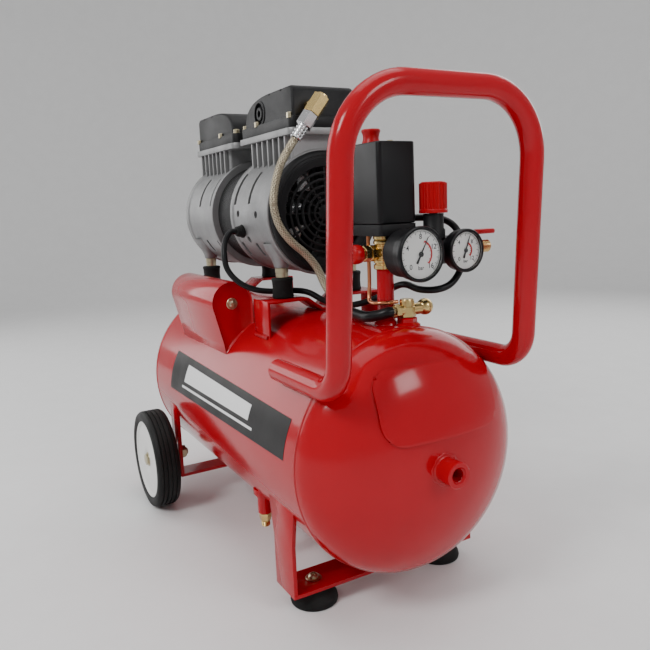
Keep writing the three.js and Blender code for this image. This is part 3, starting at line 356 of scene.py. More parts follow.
def grain_group():
    """Fine surface texture: a height for bump and a slow mottling between 0 and 1."""
    group, given, result = new_group(
        "Surface grain", {
            "Grain Scale": 600, "Mottle Scale": 18
        }, {"Height": "Float", "Mottle": "Float"}
    )
    place = node(group, "TexCoord")
    fine = node(
        group,
        "TexNoise",
        [("Vector", place.outputs["Object"]), ("Scale", given.outputs["Grain Scale"])],
        Detail=3,
    )
    slow = node(
        group,
        "TexNoise",
        [("Vector", place.outputs["Object"]), ("Scale", given.outputs["Mottle Scale"])],
        Detail=4,
        Roughness=0.6,
    )
    spread = node(
        group, "MapRange", [("Value", slow.outputs[0])], **{"From Min": 0.35, "From Max": 0.65}
    )
    group.links.new(fine.outputs[0], result.inputs["Height"])
    group.links.new(spread.outputs["Result"], result.inputs["Mottle"])
    return group


def dust_group():
    """Where dust settles: upward faces, broken up by noise."""
    group, given, result = new_group("Settled dust", {"Amount": 0.3, "Scale": 60}, {"Mask": "Float"})
    place = node(group, "TexCoord")
    surface = node(group, "NewGeometry")
    parts = node(group, "SeparateXYZ", [("Vector", surface.outputs["Normal"])])
    upward = node(
        group, "MapRange", [("Value", parts.outputs["Z"])], **{"From Min": 0.2, "From Max": 1}
    )
    patchy = node(
        group,
        "TexNoise",
        [("Vector", place.outputs["Object"]), ("Scale", given.outputs["Scale"])],
        Detail=6,
        Roughness=0.7,
    )
    both = node(
        group, "Math", [(0, upward.outputs["Result"]), (1, patchy.outputs[0])], operation="MULTIPLY"
    )
    mask = node(
        group, "Math", [(0, both.outputs[0]), (1, given.outputs["Amount"])], operation="MULTIPLY"
    )
    group.links.new(mask.outputs[0], result.inputs["Mask"])
    return group


def scratch_group():
    """Thin handling marks: long stretched streaks, mostly empty."""
    group, given, result = new_group("Handling marks", {"Scale": 40, "Amount": 0.5}, {"Mask": "Float"})
    place = node(group, "TexCoord")
    stretch = node(group, "Mapping", [("Vector", place.outputs["Object"])], Scale=(1, 6, 14))
    streaks = node(
        group,
        "TexNoise",
        [("Vector", stretch.outputs[0]), ("Scale", given.outputs["Scale"])],
        Detail=8,
        Roughness=0.75,
    )
    few = node(
        group, "MapRange", [("Value", streaks.outputs[0])], **{"From Min": 0.6, "From Max": 0.72}
    )
    mask = node(
        group, "Math", [(0, few.outputs["Result"]), (1, given.outputs["Amount"])], operation="MULTIPLY"
    )
    group.links.new(mask.outputs[0], result.inputs["Mask"])
    return group


class Palette:
    """The finishes of this compressor, each made once from the shared effects."""

    def __init__(self, colours):
        self.grain = grain_group()
        self.dust = dust_group()
        self.marks = scratch_group()
        make = self.finish
        red = tuple(colours.enamel)
        self.enamel = make("Red enamel", red, 0.15, coat=0.1, grain=(30, 0.14), mottle=0.06, shine=0.25)
        self.weld = make(
            "Painted weld bead", red, 0.3, coat=0.1, grain=(260, 0.8), mottle=0.2, shine=0.3
        )
        self.cast = make(
            "Cast alloy", tuple(colours.castings), 0.46, 0.6, grain=(900, 0.6), dust=0.06, mottle=0.22
        )
        self.black_cast = make(
            "Black cast head",
            (0.008, 0.008, 0.009),
            0.46,
            0.0,
            grain=(800, 0.5),
            dust=0.03,
            mottle=0.3,
            shine=0.25,
        )
        self.plastic = make(
            "Black moulded plastic",
            (0.007, 0.007, 0.008),
            0.5,
            grain=(1100, 0.3),
            dust=0.03,
            mottle=0.25,
            shine=0.25,
        )
        self.gloss_black = make(
            "Gloss black plastic",
            (0.006, 0.006, 0.007),
            0.32,
            grain=(500, 0.08),
            mottle=0.2,
            shine=0.25,
        )
        self.rubber = make(
            "Matte rubber",
            (0.009, 0.009, 0.009),
            0.72,
            grain=(700, 0.5),
            dust=0.06,
            mottle=0.35,
            shine=0.25,
        )
        self.tyre = make(
            "Tyre rubber",
            (0.008, 0.008, 0.008),
            0.55,
            grain=(500, 0.6),
            dust=0.06,
            mottle=0.35,
            shine=0.25,
        )
        self.cable = make(
            "Cable sheath", (0.006, 0.006, 0.007), 0.35, grain=(300, 0.1), mottle=0.2, shine=0.25
        )
        self.white = make(
            "White moulded wheel", (0.8, 0.8, 0.78), 0.35, grain=(500, 0.08), dust=0.05, mottle=0.06
        )
        self.zinc = make(
            "Zinc plate", (0.6, 0.53, 0.36), 0.3, 1.0, grain=(500, 0.15), mottle=0.3, marks=0.5
        )
        self.steel = make(
            "Bright steel", (0.66, 0.66, 0.67), 0.22, 1.0, grain=(700, 0.1), mottle=0.15, marks=0.6
        )
        self.brass = make(
            "Brass", (0.76, 0.56, 0.24), 0.26, 1.0, grain=(600, 0.12), mottle=0.3, marks=0.5
        )
        self.copper = make("Copper tube", (0.62, 0.24, 0.12), 0.3, 1.0, grain=(400, 0.1), mottle=0.4)
        self.red_plastic = make(
            "Red moulded plastic",
            tuple(colours.knobs),
            0.32,
            grain=(700, 0.12),
            mottle=0.12,
            shine=0.25,
        )
        self.laminations = self.stacked_sheets()
        self.braid = self.woven_steel()
        self.dial = make("Dial face", (0.85, 0.85, 0.83), 0.5, grain=(300, 0.03), mottle=0.03)
        self.ink = make("Black dial print", (0.01, 0.01, 0.012), 0.5, grain=(300, 0.03), mottle=0.1)
        self.red_ink = make("Red dial print", (0.6, 0.02, 0.02), 0.5, grain=(300, 0.03), mottle=0.1)
        self.band_black = make(
            "Black film", (0.007, 0.006, 0.006), 0.4, grain=(200, 0.03), mottle=0.15, shine=0.25
        )
        self.band_white = make("White film", (0.84, 0.84, 0.84), 0.4, grain=(200, 0.03), mottle=0.04)
        self.lens = self.clear_lens()
        self.floor = make("Pale floor", (0.82, 0.82, 0.82), 0.7, grain=(40, 0.02), mottle=0.02)

    def finish(
        self,
        name,
        colour,
        roughness,
        metallic=0.0,
        coat=0.0,
        grain=(500, 0.1),
        dust=0.0,
        mottle=0.1,
        marks=0.0,
        shine=0.5,
    ):
        """A finish whose shade, roughness and relief come from the shared effects."""
        material = bpy.data.materials.new(name)
        material.use_nodes = True
        tree = material.node_tree
        shader = tree.nodes["Principled BSDF"]
        shader.inputs["Metallic"].default_value = metallic
        shader.inputs["Coat Weight"].default_value = coat
        shader.inputs["Coat Roughness"].default_value = 0.06
        shader.inputs["Specular IOR Level"].default_value = shine
        texture = node(tree, "Group", node_tree=self.grain)
        texture.inputs["Grain Scale"].default_value = grain[0]
        shade = tuple(channel * (1 - mottle) for channel in colour)
        tone = node(tree, "Mix", [("Factor", texture.outputs["Mottle"])], data_type="RGBA")
        tone.inputs[6].default_value = (*colour, 1)
        tone.inputs[7].default_value = (*shade, 1)
        base = tone.outputs[2]
        rough = node(tree, "MapRange", [("Value", texture.outputs["Mottle"])])
        rough.inputs["To Min"].default_value = roughness * 0.88
        rough.inputs["To Max"].default_value = min(roughness * 1.18, 1)
        roughening = rough.outputs["Result"]
        for effect, amount, tint in (
            (self.dust, dust, (0.33, 0.31, 0.28)), (self.marks, marks, (0.9, 0.88, 0.84))
        ):
            if not amount:
                continue
            layer = node(tree, "Group", node_tree=effect)
            layer.inputs["Amount"].default_value = amount * 0.5
            over = node(tree, "Mix", [("Factor", layer.outputs["Mask"])], data_type="RGBA")
            tree.links.new(base, over.inputs[6])
            over.inputs[7].default_value = (*tint, 1)
            base = over.outputs[2]
            coarser = node(
                tree, "Math", [
                    (0, layer.outputs["Mask"]), (1, roughening)
                ], operation="ADD", use_clamp=True
            )
            roughening = coarser.outputs[0]
        relief = node(tree, "Bump", [("Height", texture.outputs["Height"])], Distance=0.4 * MM)
        relief.inputs["Strength"].default_value = grain[1]
        tree.links.new(base, shader.inputs["Base Color"])
        tree.links.new(roughening, shader.inputs["Roughness"])
        tree.links.new(relief.outputs["Normal"], shader.inputs["Normal"])
        return material

    def stacked_sheets(self):
        """Lacquered sheets stacked along the shaft, seen as fine lines."""
        material = self.finish(
            "Stator sheets", (0.012, 0.012, 0.013), 0.5, 0.3, grain=(300, 0.1), dust=0.05
        )
        tree = material.node_tree
        place = node(tree, "TexCoord")
        lines = node(
            tree,
            "TexWave",
            [("Vector", place.outputs["Object"])],
            wave_type="BANDS",
            bands_direction="X",
            Scale=260,
            Distortion=0.2,
        )
        relief = node(tree, "Bump", [("Height", lines.outputs[0])], Distance=0.4 * MM, Strength=0.7)
        tree.links.new(relief.outputs["Normal"], tree.nodes["Principled BSDF"].inputs["Normal"])
        return material

    def woven_steel(self):
        """Steel wires woven round a hose, drawn on the tube's own unwrapped map, with painted shade in the gaps
        between the wires.
        """
        material = self.finish(
            "Woven steel braid", (0.66, 0.62, 0.54), 0.3, 1.0, grain=(500, 0.1), mottle=0.2
        )
        tree = material.node_tree
        shader = tree.nodes["Principled BSDF"]
        woven = node(tree, "Attribute", attribute_name="weave")
        strands = []
        for slope in (1, -1):
            mapped = node(
                tree, "Mapping", [
                    ("Vector", woven.outputs["Vector"])
                ], Rotation=(0, 0, slope * math.radians(52))
            )
            strands.append(
                node(
                    tree,
                    "TexWave",
                    [("Vector", mapped.outputs[0])],
                    wave_type="BANDS",
                    Scale=130,
                    Distortion=0,
                )
            )
        weave = node(
            tree, "Math", [(0, strands[0].outputs[1]), (1, strands[1].outputs[1])], operation="MAXIMUM"
        )
        # The darker colour is painted shade in the gaps between the wires; the lighter one is the wires' own tone.
        shade = node(tree, "Mix", [("Factor", weave.outputs[0])], data_type="RGBA")
        shade.inputs[6].default_value = (0.1, 0.085, 0.06, 1)
        shade.inputs[7].default_value = (0.46, 0.4, 0.29, 1)
        relief = node(tree, "Bump", [("Height", weave.outputs[0])], Distance=0.6 * MM, Strength=0.8)
        tree.links.new(shade.outputs[2], shader.inputs["Base Color"])
        tree.links.new(relief.outputs["Normal"], shader.inputs["Normal"])
        return material

    def clear_lens(self):
        """Clear moulded lens with faint smudges in its gloss."""
        material = bpy.data.materials.new("Clear lens")
        material.use_nodes = True
        tree = material.node_tree
        shader = tree.nodes["Principled BSDF"]
        shader.inputs["Base Color"].default_value = (1, 1, 1, 1)
        shader.inputs["Transmission Weight"].default_value = 1
        shader.inputs["IOR"].default_value = 1.2
        texture = node(tree, "Group", node_tree=self.grain)
        texture.inputs["Grain Scale"].default_value = 200
        smudge = node(tree, "MapRange", [("Value", texture.outputs["Mottle"])])
        smudge.inputs["To Min"].default_value = 0.01
        smudge.inputs["To Max"].default_value = 0.06
        tree.links.new(smudge.outputs["Result"], shader.inputs["Roughness"])
        return material


palette = None


def finishes():
    """The palette, made at its first use from the colours set in the scene."""
    global palette
    if palette is None:
        palette = Palette(bpy.context.scene.compressor_colours)
    return palette


# ---------------------------------------------------------------- sizes and colours to set
class CompressorColours(bpy.types.PropertyGroup):
    """Colours of the painted and moulded surfaces."""

    enamel: FloatVectorProperty(
        name="Enamel",
        description="Paint on the tank, handle and brackets",
        subtype="COLOR",
        min=0,
        max=1,
        default=(0.43, 0.0002, 0.008),
    )
    knobs: FloatVectorProperty(
        name="Knobs",
        description="Moulded knobs and lever sleeve",
        subtype="COLOR",
        min=0,
        max=1,
        default=(0.42, 0.0006, 0.006),
    )
    castings: FloatVectorProperty(
        name="Castings",
        description="Cast alloy of the crankcases",
        subtype="COLOR",
        min=0,
        max=1,
        default=(0.27, 0.27, 0.272),
    )


class CompressorSizes(bpy.types.PropertyGroup):
    """Sizes of detail that the frame leaves open, in metres."""

    weld_width: FloatProperty(
        name="Weld width",
        description="Width of the beads round the tank's seams",
        subtype="DISTANCE",
        default=4 * MM,
    )
    tread_depth: FloatProperty(
        name="Tread depth",
        description="Depth of the grooves round each tyre",
        subtype="DISTANCE",
        default=1.6 * MM,
    )
    tread_grooves: IntProperty(
        name="Tread grooves", description="Grooves side by side on a tyre", min=1, max=8, default=4
    )
    fin_thickness: FloatProperty(
        name="Fin thickness",
        description="Thickness of the ribs on the cylinder necks",
        subtype="DISTANCE",
        default=3.2 * MM,
    )
    fin_count: IntProperty(
        name="Fins", description="Ribs on each side of a neck", min=2, max=12, default=7
    )
    knob_ribs: IntProperty(
        name="Knob ribs", description="Grip ribs round the regulator knob", min=8, max=40, default=22
    )
    hose_diameter: FloatProperty(
        name="Hose diameter",
        description="Outside of the braided delivery hose",
        subtype="DISTANCE",
        default=8.6 * MM,
    )
    lead_diameter: FloatProperty(
        name="Lead diameter", description="Outside of the motor lead", subtype="DISTANCE", default=7 * MM
    )


def sizes():
    return bpy.context.scene.compressor_sizes


class Build:
    """What every building operator shares."""

    bl_options = {"REGISTER", "UNDO"}


# ---------------------------------------------------------------- stage
class COMPRESSOR_OT_stage(Build, bpy.types.Operator):
    """Sets up the camera, the soft lights and a pale floor"""

    bl_idname = "compressor.stage"
    bl_label = "Stage"

    AZIMUTH, DOWN, ROLL = (math.radians(angle) for angle in (61.06, 9.62, -2.45))
    LENS = 37.24
    SHIFT = -0.0083

    def execute(self, context):
        back = Vector(
            (
                math.sin(self.AZIMUTH) * math.cos(self.DOWN),
                -math.cos(self.AZIMUTH) * math.cos(self.DOWN),
                math.sin(self.DOWN),
            )
        )
        level = Vector((math.cos(self.AZIMUTH), math.sin(self.AZIMUTH), 0))
        upright = back.cross(level)
        right = level * math.cos(self.ROLL) + upright * math.sin(self.ROLL)
        up = upright * math.cos(self.ROLL) - level * math.sin(self.ROLL)
        clear_selection()
        bpy.ops.object.camera_add()
        camera = context.object
        camera.name = "camera"
        pose = Matrix((right, up, back)).transposed().to_4x4()
        pose.translation = at(757, -377.5, 410)
        camera.matrix_world = pose
        camera.data.lens = self.LENS
        camera.data.shift_y = self.SHIFT
        camera.data.clip_start = 0.01
        context.scene.camera = camera

        self.light("key", (0.5, -1.4, 1.5), 0.55, 17)
        self.light("side", (-1.5, -1.1, 0.9), 1.2, 12)
        self.light("front", (1.7, 0.5, 1.2), 0.5, 8)
        self.light("top", (0, 0.1, 1.9), 1.2, 9)
        self.light("back", (-0.6, 1.6, 1.2), 1.2, 9)

        bowl = [[0, 0], [2400, 0]]
        for step in range(1, 13):
            turn = math.pi / 2 * step / 12
            bowl.append([2400 + 900 * math.sin(turn), 900 * (1 - math.cos(turn))])
        floor = turned([*bowl, [3300, 3200]], Vector((0, 0, 0)), Z, 96)
        pick(floor)
        bpy.ops.object.mode_set(mode="EDIT")
        bpy.ops.mesh.select_all(action="SELECT")
        bpy.ops.mesh.normals_make_consistent(inside=True)
        bpy.ops.object.mode_set(mode="OBJECT")
        bpy.ops.object.shade_smooth()
        floor.name = "floor"
        floor.data.materials.append(finishes().floor)

        world = bpy.data.worlds.new("Studio")
        context.scene.world = world
        world.use_nodes = True
        world.node_tree.nodes["Background"].inputs["Color"].default_value = (1, 1, 1, 1)
        world.node_tree.nodes["Background"].inputs["Strength"].default_value = 0.5
        return {"FINISHED"}

    @staticmethod
    def light(name, place, size, power):
        clear_selection()
        bpy.ops.object.light_add(type="AREA", location=place)
        lamp = bpy.context.object
        lamp.name = f"{name}_light"
        lamp.data.size = size
        lamp.data.energy = power
        aim = Vector((0, 0, 0.25)) - Vector(place)
        lamp.rotation_euler = aim.to_track_quat("-Z", "Y").to_euler()


# ---------------------------------------------------------------- hoses and leads
class COMPRESSOR_OT_cords(Build, bpy.types.Operator):
    """Lays the braided delivery hose, the motor lead and the unloader tube"""

    bl_idname = "compressor.cords"
    bl_label = "Hose and lead"

    HOSE = [
        (112, -47.6, 479.7),
        (112, -54, 471.6),
        (112, -65, 455),
        (112, -73, 434),
        (112, -76, 412),
        (112, -71, 392),
        (112, -58, 374),
        (112, -42, 360),
        (115, -30, 344),
        (121, -24, 325),
        (132, -19, 309),
        (150, -16, 300.5),
        (175, -18, 298.5),
        (200, -20, 299),
        (213, -14, 302),
        (218, -8, 304.2),
        (218.3, -2.1, 304.4),
    ]
    LEAD = [
        (3, -77, 384.2),
        (3, -83, 383.6),
        (7, -92, 374),
        (14, -97, 358),
        (18, -96, 342),
        (23, -86, 327),
        (29, -70, 317),
        (36, -51, 313),
        (46, -31, 313),
        (64, -17, 311.5),
        (92, -9, 303),
        (120, -2, 300),
        (145, 7, 304),
        (168, 16, 313),
        (188, 21, 324),
        (206, 22, 328),
        (222, 27, 324),
        (236, 38, 324),
        (239, 52, 328),
        (239, 63, 338),
        (239, 69, 352),
        (239, 68, 368),
        (236, 63, 382),
        (228, 60, 389),
        (217, 54, 393),
        (207, 42, 394),
        (201, 31, 394),
        (200, 22.2, 394),
    ]
    UNLOADER = [
        (190, -11, 378.3),
        (190, -11, 359.9),
        (190, -11, 334.9),
        (190, -11.5, 321.9),
        (193, -13.5, 313.9),
        (201, -14.5, 312.4),
        (208, -12.5, 312.7),
        (213, -6, 312.9),
        (213.4, 0.5, 312.9),
        (214.1, 6, 312.9),
    ]
    SLEEVE_FROM = 0.62

    def execute(self, context):
        paint = finishes()
        size = sizes()
        hose = smooth_route([at(*point) for point in self.HOSE], 8)
        tube = swept(hose, size.hose_diameter / 2 / MM, 24)
        self.unwrap(tube, hose)
        placed(
            tube,
            "delivery_hose_braid",
            paint.braid,
            replaces=["delivery_hose"],
            smooth=60,
        )

        start = int(len(hose) * self.SLEEVE_FROM)
        covered = hose[start:-4]
        sleeve = swept(covered, size.hose_diameter / 2 / MM + 1.1, 24)
        placed(sleeve, "delivery_hose_sleeve", paint.cable, smooth=60)
        along = (hose[start + 1] - hose[start - 1]).normalized()
        clip = turned(
            [[4.4, 0], [6.6, 0], [7.4, 1], [7.4, 9], [6.6, 10], [4.4, 10], [4.4, 0]],
            hose[start - 3],
            along,
            32,
        )
        tail = block(
            hose[start] + Vector((-4, 2, -9)) * MM,
            hose[start] + Vector((4, 10, -2)) * MM,
        )
        clip = joined([clip, eased(tail, 1.2)])
        placed(clip, "delivery_hose_clip", paint.plastic)

        lead = smooth_route([at(*point) for point in self.LEAD], 6)
        sheath = swept(lead, size.lead_diameter / 2 / MM, 20)
        placed(
            sheath, "motor_lead_sheath", paint.cable, replaces=["motor_lead"], smooth=60
        )

        unloader = swept(smooth_route([at(*point) for point in self.UNLOADER], 6), 2, 16)
        placed(
            unloader,
            "unloader_pipe",
            paint.copper,
            replaces=["unloader_tube"],
            smooth=60,
        )
        return {"FINISHED"}

    @staticmethod
    def unwrap(tube, route):
        """Stores, on each corner of the tube, how far along and round it lies, in metres."""
        mesh = tube.data
        weave = mesh.attributes.new("weave", "FLOAT_VECTOR", "POINT")
        runs = [0.0]
        for before, after in zip(route, route[1:]):
            runs.append(runs[-1] + (after - before).length)
        for vertex, value in zip(mesh.vertices, weave.data):
            nearest = min(range(len(route)), key=lambda i: (route[i] - vertex.co).length_squared)
            ahead = route[min(nearest + 1, len(route) - 1)] - route[max(nearest - 1, 0)]
            side = ahead.cross(Z).normalized()
            over = side.cross(ahead).normalized()
            spoke = vertex.co - route[nearest]
            angle = math.atan2(spoke.dot(over), spoke.dot(side))
            value.vector = (runs[nearest], angle * spoke.length, 0)


# ---------------------------------------------------------------- tank
class COMPRESSOR_OT_tank(Build, bpy.types.Operator):
    """Models the barrel, its heads, weld beads, port, name plate and side band"""

    bl_idname = "compressor.tank"
    bl_label = "Tank"

    WALL = 2
    STEPS = 144

    def execute(self, context):
        self.barrel()
        for sign, end in ((1, "front"), (-1, "rear")):
            self.head(sign, end)
            self.seam(sign, end)
        self.port()
        self.head_plate()
        self.side_band()
        return {"FINISHED"}

    def barrel(self):
        paint = finishes()
        low, high = -FRONT_SEAM, FRONT_SEAM
        wall = [[TANK_RADIUS - self.WALL, low], [TANK_RADIUS, low], [TANK_RADIUS, high]]
        wall += [[TANK_RADIUS - self.WALL, high], wall[0]]
        shell = turned(wall, at(0, 0, TANK_AXIS), X, self.STEPS)
        placed(shell, "tank_barrel_shell", paint.enamel, replaces=["tank_barrel"])
        top = tank_height(CHECK_Y)
        hexagon = rod(at(CHECK_X, CHECK_Y, top - 3), at(CHECK_X, CHECK_Y, top + 8), 10, 6, 1)
        fillet = turned(
            [
                [0, -4], [14, -4], [13, 1.2], [11, 2.6], [9, 3.2], [0, 3.2]
            ], at(CHECK_X, CHECK_Y, top), Z, 40
        )
        placed(joined([hexagon, fillet]), "check_valve_socket", paint.enamel)
        low = 2 * TANK_AXIS - tank_height(DRAIN_Y)
        drop = low - 17
        socket = turned(
            [[4, 0], [7.2, 0], [8, 0.8], [8, 17], [9, 20], [12, 24], [12, 30], [4, 30], [4, 0]],
            at(DRAIN_X, DRAIN_Y, drop),
            Z,
            40,
        )
        placed(socket, "drain_socket", paint.enamel)

    def head(self, sign, end):
        profile = [[0, HEAD_DEPTH - self.WALL]]
        steps = 20
        for step in range(steps, -1, -1):
            angle = math.pi / 2 * step / steps
            radius = (TANK_RADIUS - self.WALL) * math.cos(angle)
            profile.append([radius, (HEAD_DEPTH - self.WALL) * math.sin(angle)])
        for step in range(steps + 1):
            angle = math.pi / 2 * step / steps
            profile.append([TANK_RADIUS * math.cos(angle), HEAD_DEPTH * math.sin(angle)])
        profile[0][0] = 0
        profile[-1][0] = 0
        shell = turned(profile, at(sign * FRONT_SEAM, 0, TANK_AXIS), X * sign, self.STEPS)
        name = f"tank_{end}_head"
        placed(shell, f"{name}_shell", finishes().enamel, replaces=[name])

    def seam(self, sign, end):
        half = sizes().weld_width / 2 / MM
        bead = [[TANK_RADIUS - 0.6, -half], [TANK_RADIUS + 0.35, -half * 0.7], [TANK_RADIUS + 0.75, 0]]
        bead += [[TANK_RADIUS + 0.35, half * 0.7], [TANK_RADIUS - 0.6, half], bead[0]]
        ring = turned(bead, at(sign * FRONT_SEAM, 0, TANK_AXIS), X, self.STEPS)
        placed(ring, f"weld_seam_{end}", finishes().weld, smooth=80)

    def port(self):
        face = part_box("front_port_boss")[1].x / MM - TANK_MIDDLE / MM
        base = at(face - 27, 0, TANK_AXIS)
        profile = [[5.5, 1], [12, 1], [12.5, 2], [12.5, 26.2], [11.7, 27], [8.2, 27], [7.4, 25.6]]
        thread = [[6.2 + 0.5 * (turn % 2), 24.8 - turn * 0.9] for turn in range(16)]
        boss = turned([*profile, *thread, [5.5, 1]], base, X, 64)
        placed(boss, "front_port", finishes().enamel, replaces=["front_port_boss"])
        foot = FRONT_SEAM + HEAD_DEPTH - 2.2
        bead = []
        for step in range(73):
            angle = TURN * step / 72
            reach = 14.4 + 0.5 * math.sin(angle * 9) + 0.3 * math.sin(angle * 4 + 1)
            bead.append(at(foot, reach * math.cos(angle), TANK_AXIS + reach * math.sin(angle)))
        collar = turned(
            [[12, -2], [16.4, -2], [15, 1.6], [12, 3.4], [12, -2]], at(foot, 0, TANK_AXIS), X, 64
        )
        fillet = joined([swept(bead, 2.3, 12), collar])
        placed(fillet, "front_port_weld", finishes().weld, smooth=80)

    def on_head(self, y, z, proud):
        """The point of the front head's skin that lies at y and z, moved outwards."""
        share = 1 - (y * y + (z - TANK_AXIS) ** 2) / TANK_RADIUS**2
        return at(FRONT_SEAM + HEAD_DEPTH * math.sqrt(max(share, 0)) + proud, y, z)

    def head_plate(self):
        """A thin blank plate with rounded corners, bent to the head and painted over with it."""
        clear_selection()
        bpy.ops.mesh.primitive_grid_add(x_subdivisions=40, y_subdivisions=24, size=2)
        plate_piece = bpy.context.object
        wide, high, corner = 70, 34, 22
        for vertex in plate_piece.data.vertices:
            u, v = vertex.co.x * wide, vertex.co.y * high
            over_u, over_v = abs(u) - (wide - corner), abs(v) - (high - corner)
            if over_u > 0 and over_v > 0:
                reach = math.hypot(over_u, over_v)
                if reach > corner:
                    u -= math.copysign(over_u * (1 - corner / reach), u)
                    v -= math.copysign(over_v * (1 - corner / reach), v)
            vertex.co = self.on_head(8 + u, 228 + v, 1.1)
        apply_modifier(plate_piece, "SOLIDIFY", thickness=2.6 * MM, offset=0)
        placed(eased(plate_piece, 0.9, 3, 50), "head_plate", finishes().enamel)

    def band(self, name, finish, corners, proud, columns=40, rows=10):
        """A film on the barrel's -Y side; corners are (x, angle) pairs above the middle line."""
        clear_selection()
        bpy.ops.mesh.primitive_grid_add(x_subdivisions=columns, y_subdivisions=rows, size=2)
        film = bpy.context.object
        (xa, ta), (xb, tb), (xc, tc), (xd, td) = corners
        for vertex in film.data.vertices:
            s, t = (vertex.co.x + 1) / 2, (vertex.co.y + 1) / 2
            x = (xa * (1 - s) + xb * s) * (1 - t) + (xd * (1 - s) + xc * s) * t
            angle = math.radians((ta * (1 - s) + tb * s) * (1 - t) + (td * (1 - s) + tc * s) * t)
            radius = TANK_RADIUS + proud
            vertex.co = at(x, -radius * math.cos(angle), TANK_AXIS + radius * math.sin(angle))
        apply_modifier(film, "SOLIDIFY", thickness=0.15 * MM, offset=0)
        placed(film, name, finish)

    def side_band(self):
        paint = finishes()
        self.band(
            "side_band", paint.band_black, [(-156, 1), (206, 4.2), (210, 23.1), (-147, 25.9)], 0.25
        )
        bars = (
            ("wide", (-96, 10.2), (118, 11.6), (121, 19.6), (-90, 21.2)),
            ("thin", (-104, 6.2), (130, 7.9), (130.6, 9.3), (-103, 7.7)),
        )
        for label, *corners in bars:
            self.band(f"side_stripe_{label}", paint.band_white, corners, 0.42, 32, 4)


# ---------------------------------------------------------------- handle
class COMPRESSOR_OT_handle(Build, bpy.types.Operator):
    """Bends the handle's tube and welds its ends along the tank"""

    bl_idname = "compressor.handle"
    bl_label = "Handle"

    RADIUS = 11
    REST_ANGLE = math.radians(50.6)

    def execute(self, context):
        paint = finishes()
        reach = TANK_RADIUS + self.RADIUS + 0.6
        side, height = reach * math.sin(self.REST_ANGLE), TANK_AXIS + reach * math.cos(self.REST_ANGLE)
        foot, top = FRONT_SEAM + 53.7, FRONT_SEAM + 70.7
        half = [
            (foot - 118, -side, height), (foot, -side, height), (top, -side + 3.3, TANK_TOP + 215.5)
        ]
        corners = [at(*p) for p in half] + [at(x, -y, z) for x, y, z in reversed(half)]
        route = self.bent(corners, (30, 62, 62, 30))
        tube = swept(route, self.RADIUS, 32)
        ends = []
        for end, inward in ((corners[0], X), (corners[-1], X)):
            cap = turned([[0, -4], [5, -3.6], [8.6, -2], [10.6, 0], [10.9, 2], [0, 2]], end, inward, 32)
            ends.append(cap)
        placed(
            joined([tube, *ends]), "handle_bent_tube", paint.enamel, replaces=["handle_tube"], smooth=60
        )
        for side_name, sign in (("left", 1), ("right", -1)):
            beads = []
            for offset in (-3.8, 3.8):
                angle = self.REST_ANGLE + math.radians(offset)
                for start, length in ((5, 24), (36, 22)):
                    line = []
                    for step in range(12):
                        x = foot - 118 + start + length * step / 11
                        wobble = 0.3 * math.sin(step * 2.1)
                        r = TANK_RADIUS + 0.9 + wobble
                        line.append(at(x, sign * r * math.sin(angle), TANK_AXIS + r * math.cos(angle)))
                    beads.append(swept(line, 2.1, 12))
            placed(joined(beads), f"handle_weld_{side_name}", paint.weld, smooth=80)
        return {"FINISHED"}

    @staticmethod
    def bent(corners, radii, steps=14):
        """Straights joined by arcs that touch them; the radii are in millimetres."""
        route = [corners[0]]
        for before, corner, after, radius in zip(corners, corners[1:], corners[2:], radii):
            back, ahead = (before - corner).normalized(), (after - corner).normalized()
            half = back.angle(ahead) / 2
            centre = corner + (back + ahead).normalized() * radius * MM / math.sin(half)
            first = corner + back * radius * MM / math.tan(half) - centre
            axle = ahead.cross(back).normalized()
            for step in range(steps + 1):
                turn = Matrix.Rotation((math.pi - 2 * half) * step / steps, 3, axle)
                route.append(centre + turn @ first)
        return [*route, corners[-1]]


# ---------------------------------------------------------------- front bracket and feet
class COMPRESSOR_OT_front_stand(Build, bpy.types.Operator):
    """Models the front leg bracket, its bolts and the rubber feet"""

    bl_idname = "compressor.front_stand"
    bl_label = "Front bracket and feet"

    def execute(self, context):
        paint = finishes()
        bracket = refined_copy("front_leg_bracket", 0.8)
        placed(bracket, "front_leg_strap", paint.enamel, replaces=["front_leg_bracket"])
        for side in ("left", "right"):
            low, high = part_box(f"foot_{side}")
            base = Vector(((low.x + high.x) / 2, (low.y + high.y) / 2, 0))
            cup = [
                [0, 5], [12, 4.4], [18, 2.4], [21.5, 0.2], [23.4, 0], [24.8, 0.8], [25.3, 3], [24.6, 6.5],
                [22.6, 10], [19.4, 13.4], [16.8, 15.6], [15.7, 17.4], [15.6, 19.2], [14.8, 19.7], [0, 19.7],
            ]
            foot = turned(cup, base, Z, 64)
            placed(
                foot,
                f"rubber_foot_{side}",
                paint.rubber,
                replaces=[f"foot_{side}"],
                smooth=50,
            )
            seat = base + Z * 24.2 * MM
            washer = turned([[0, 0], [8, 0], [8.4, 0.4], [8.4, 0.9], [8, 1.2], [0, 1.2]], seat, Z, 48)
            head = turned([[0, 1], [5.4, 1], [5.6, 2.4], [4.6, 4], [2.6, 4.8], [0, 5]], seat, Z, 48)
            for reach in ((3.4, 0.7, 1.4), (0.7, 3.4, 1.4)):
                centre = seat + Z * 5 * MM
                cross = block(centre - Vector(reach) * MM, centre + Vector(reach) * MM)
                head = combined(head, cross, "DIFFERENCE")
            shank = rod(base + Z * 10 * MM, seat + Z * 1 * MM, 3.6, 32, 0.3)
            bolt = joined([washer, head, shank])
            placed(bolt, f"foot_screw_{side}", paint.zinc, replaces=[f"foot_bolt_{side}"])
        return {"FINISHED"}


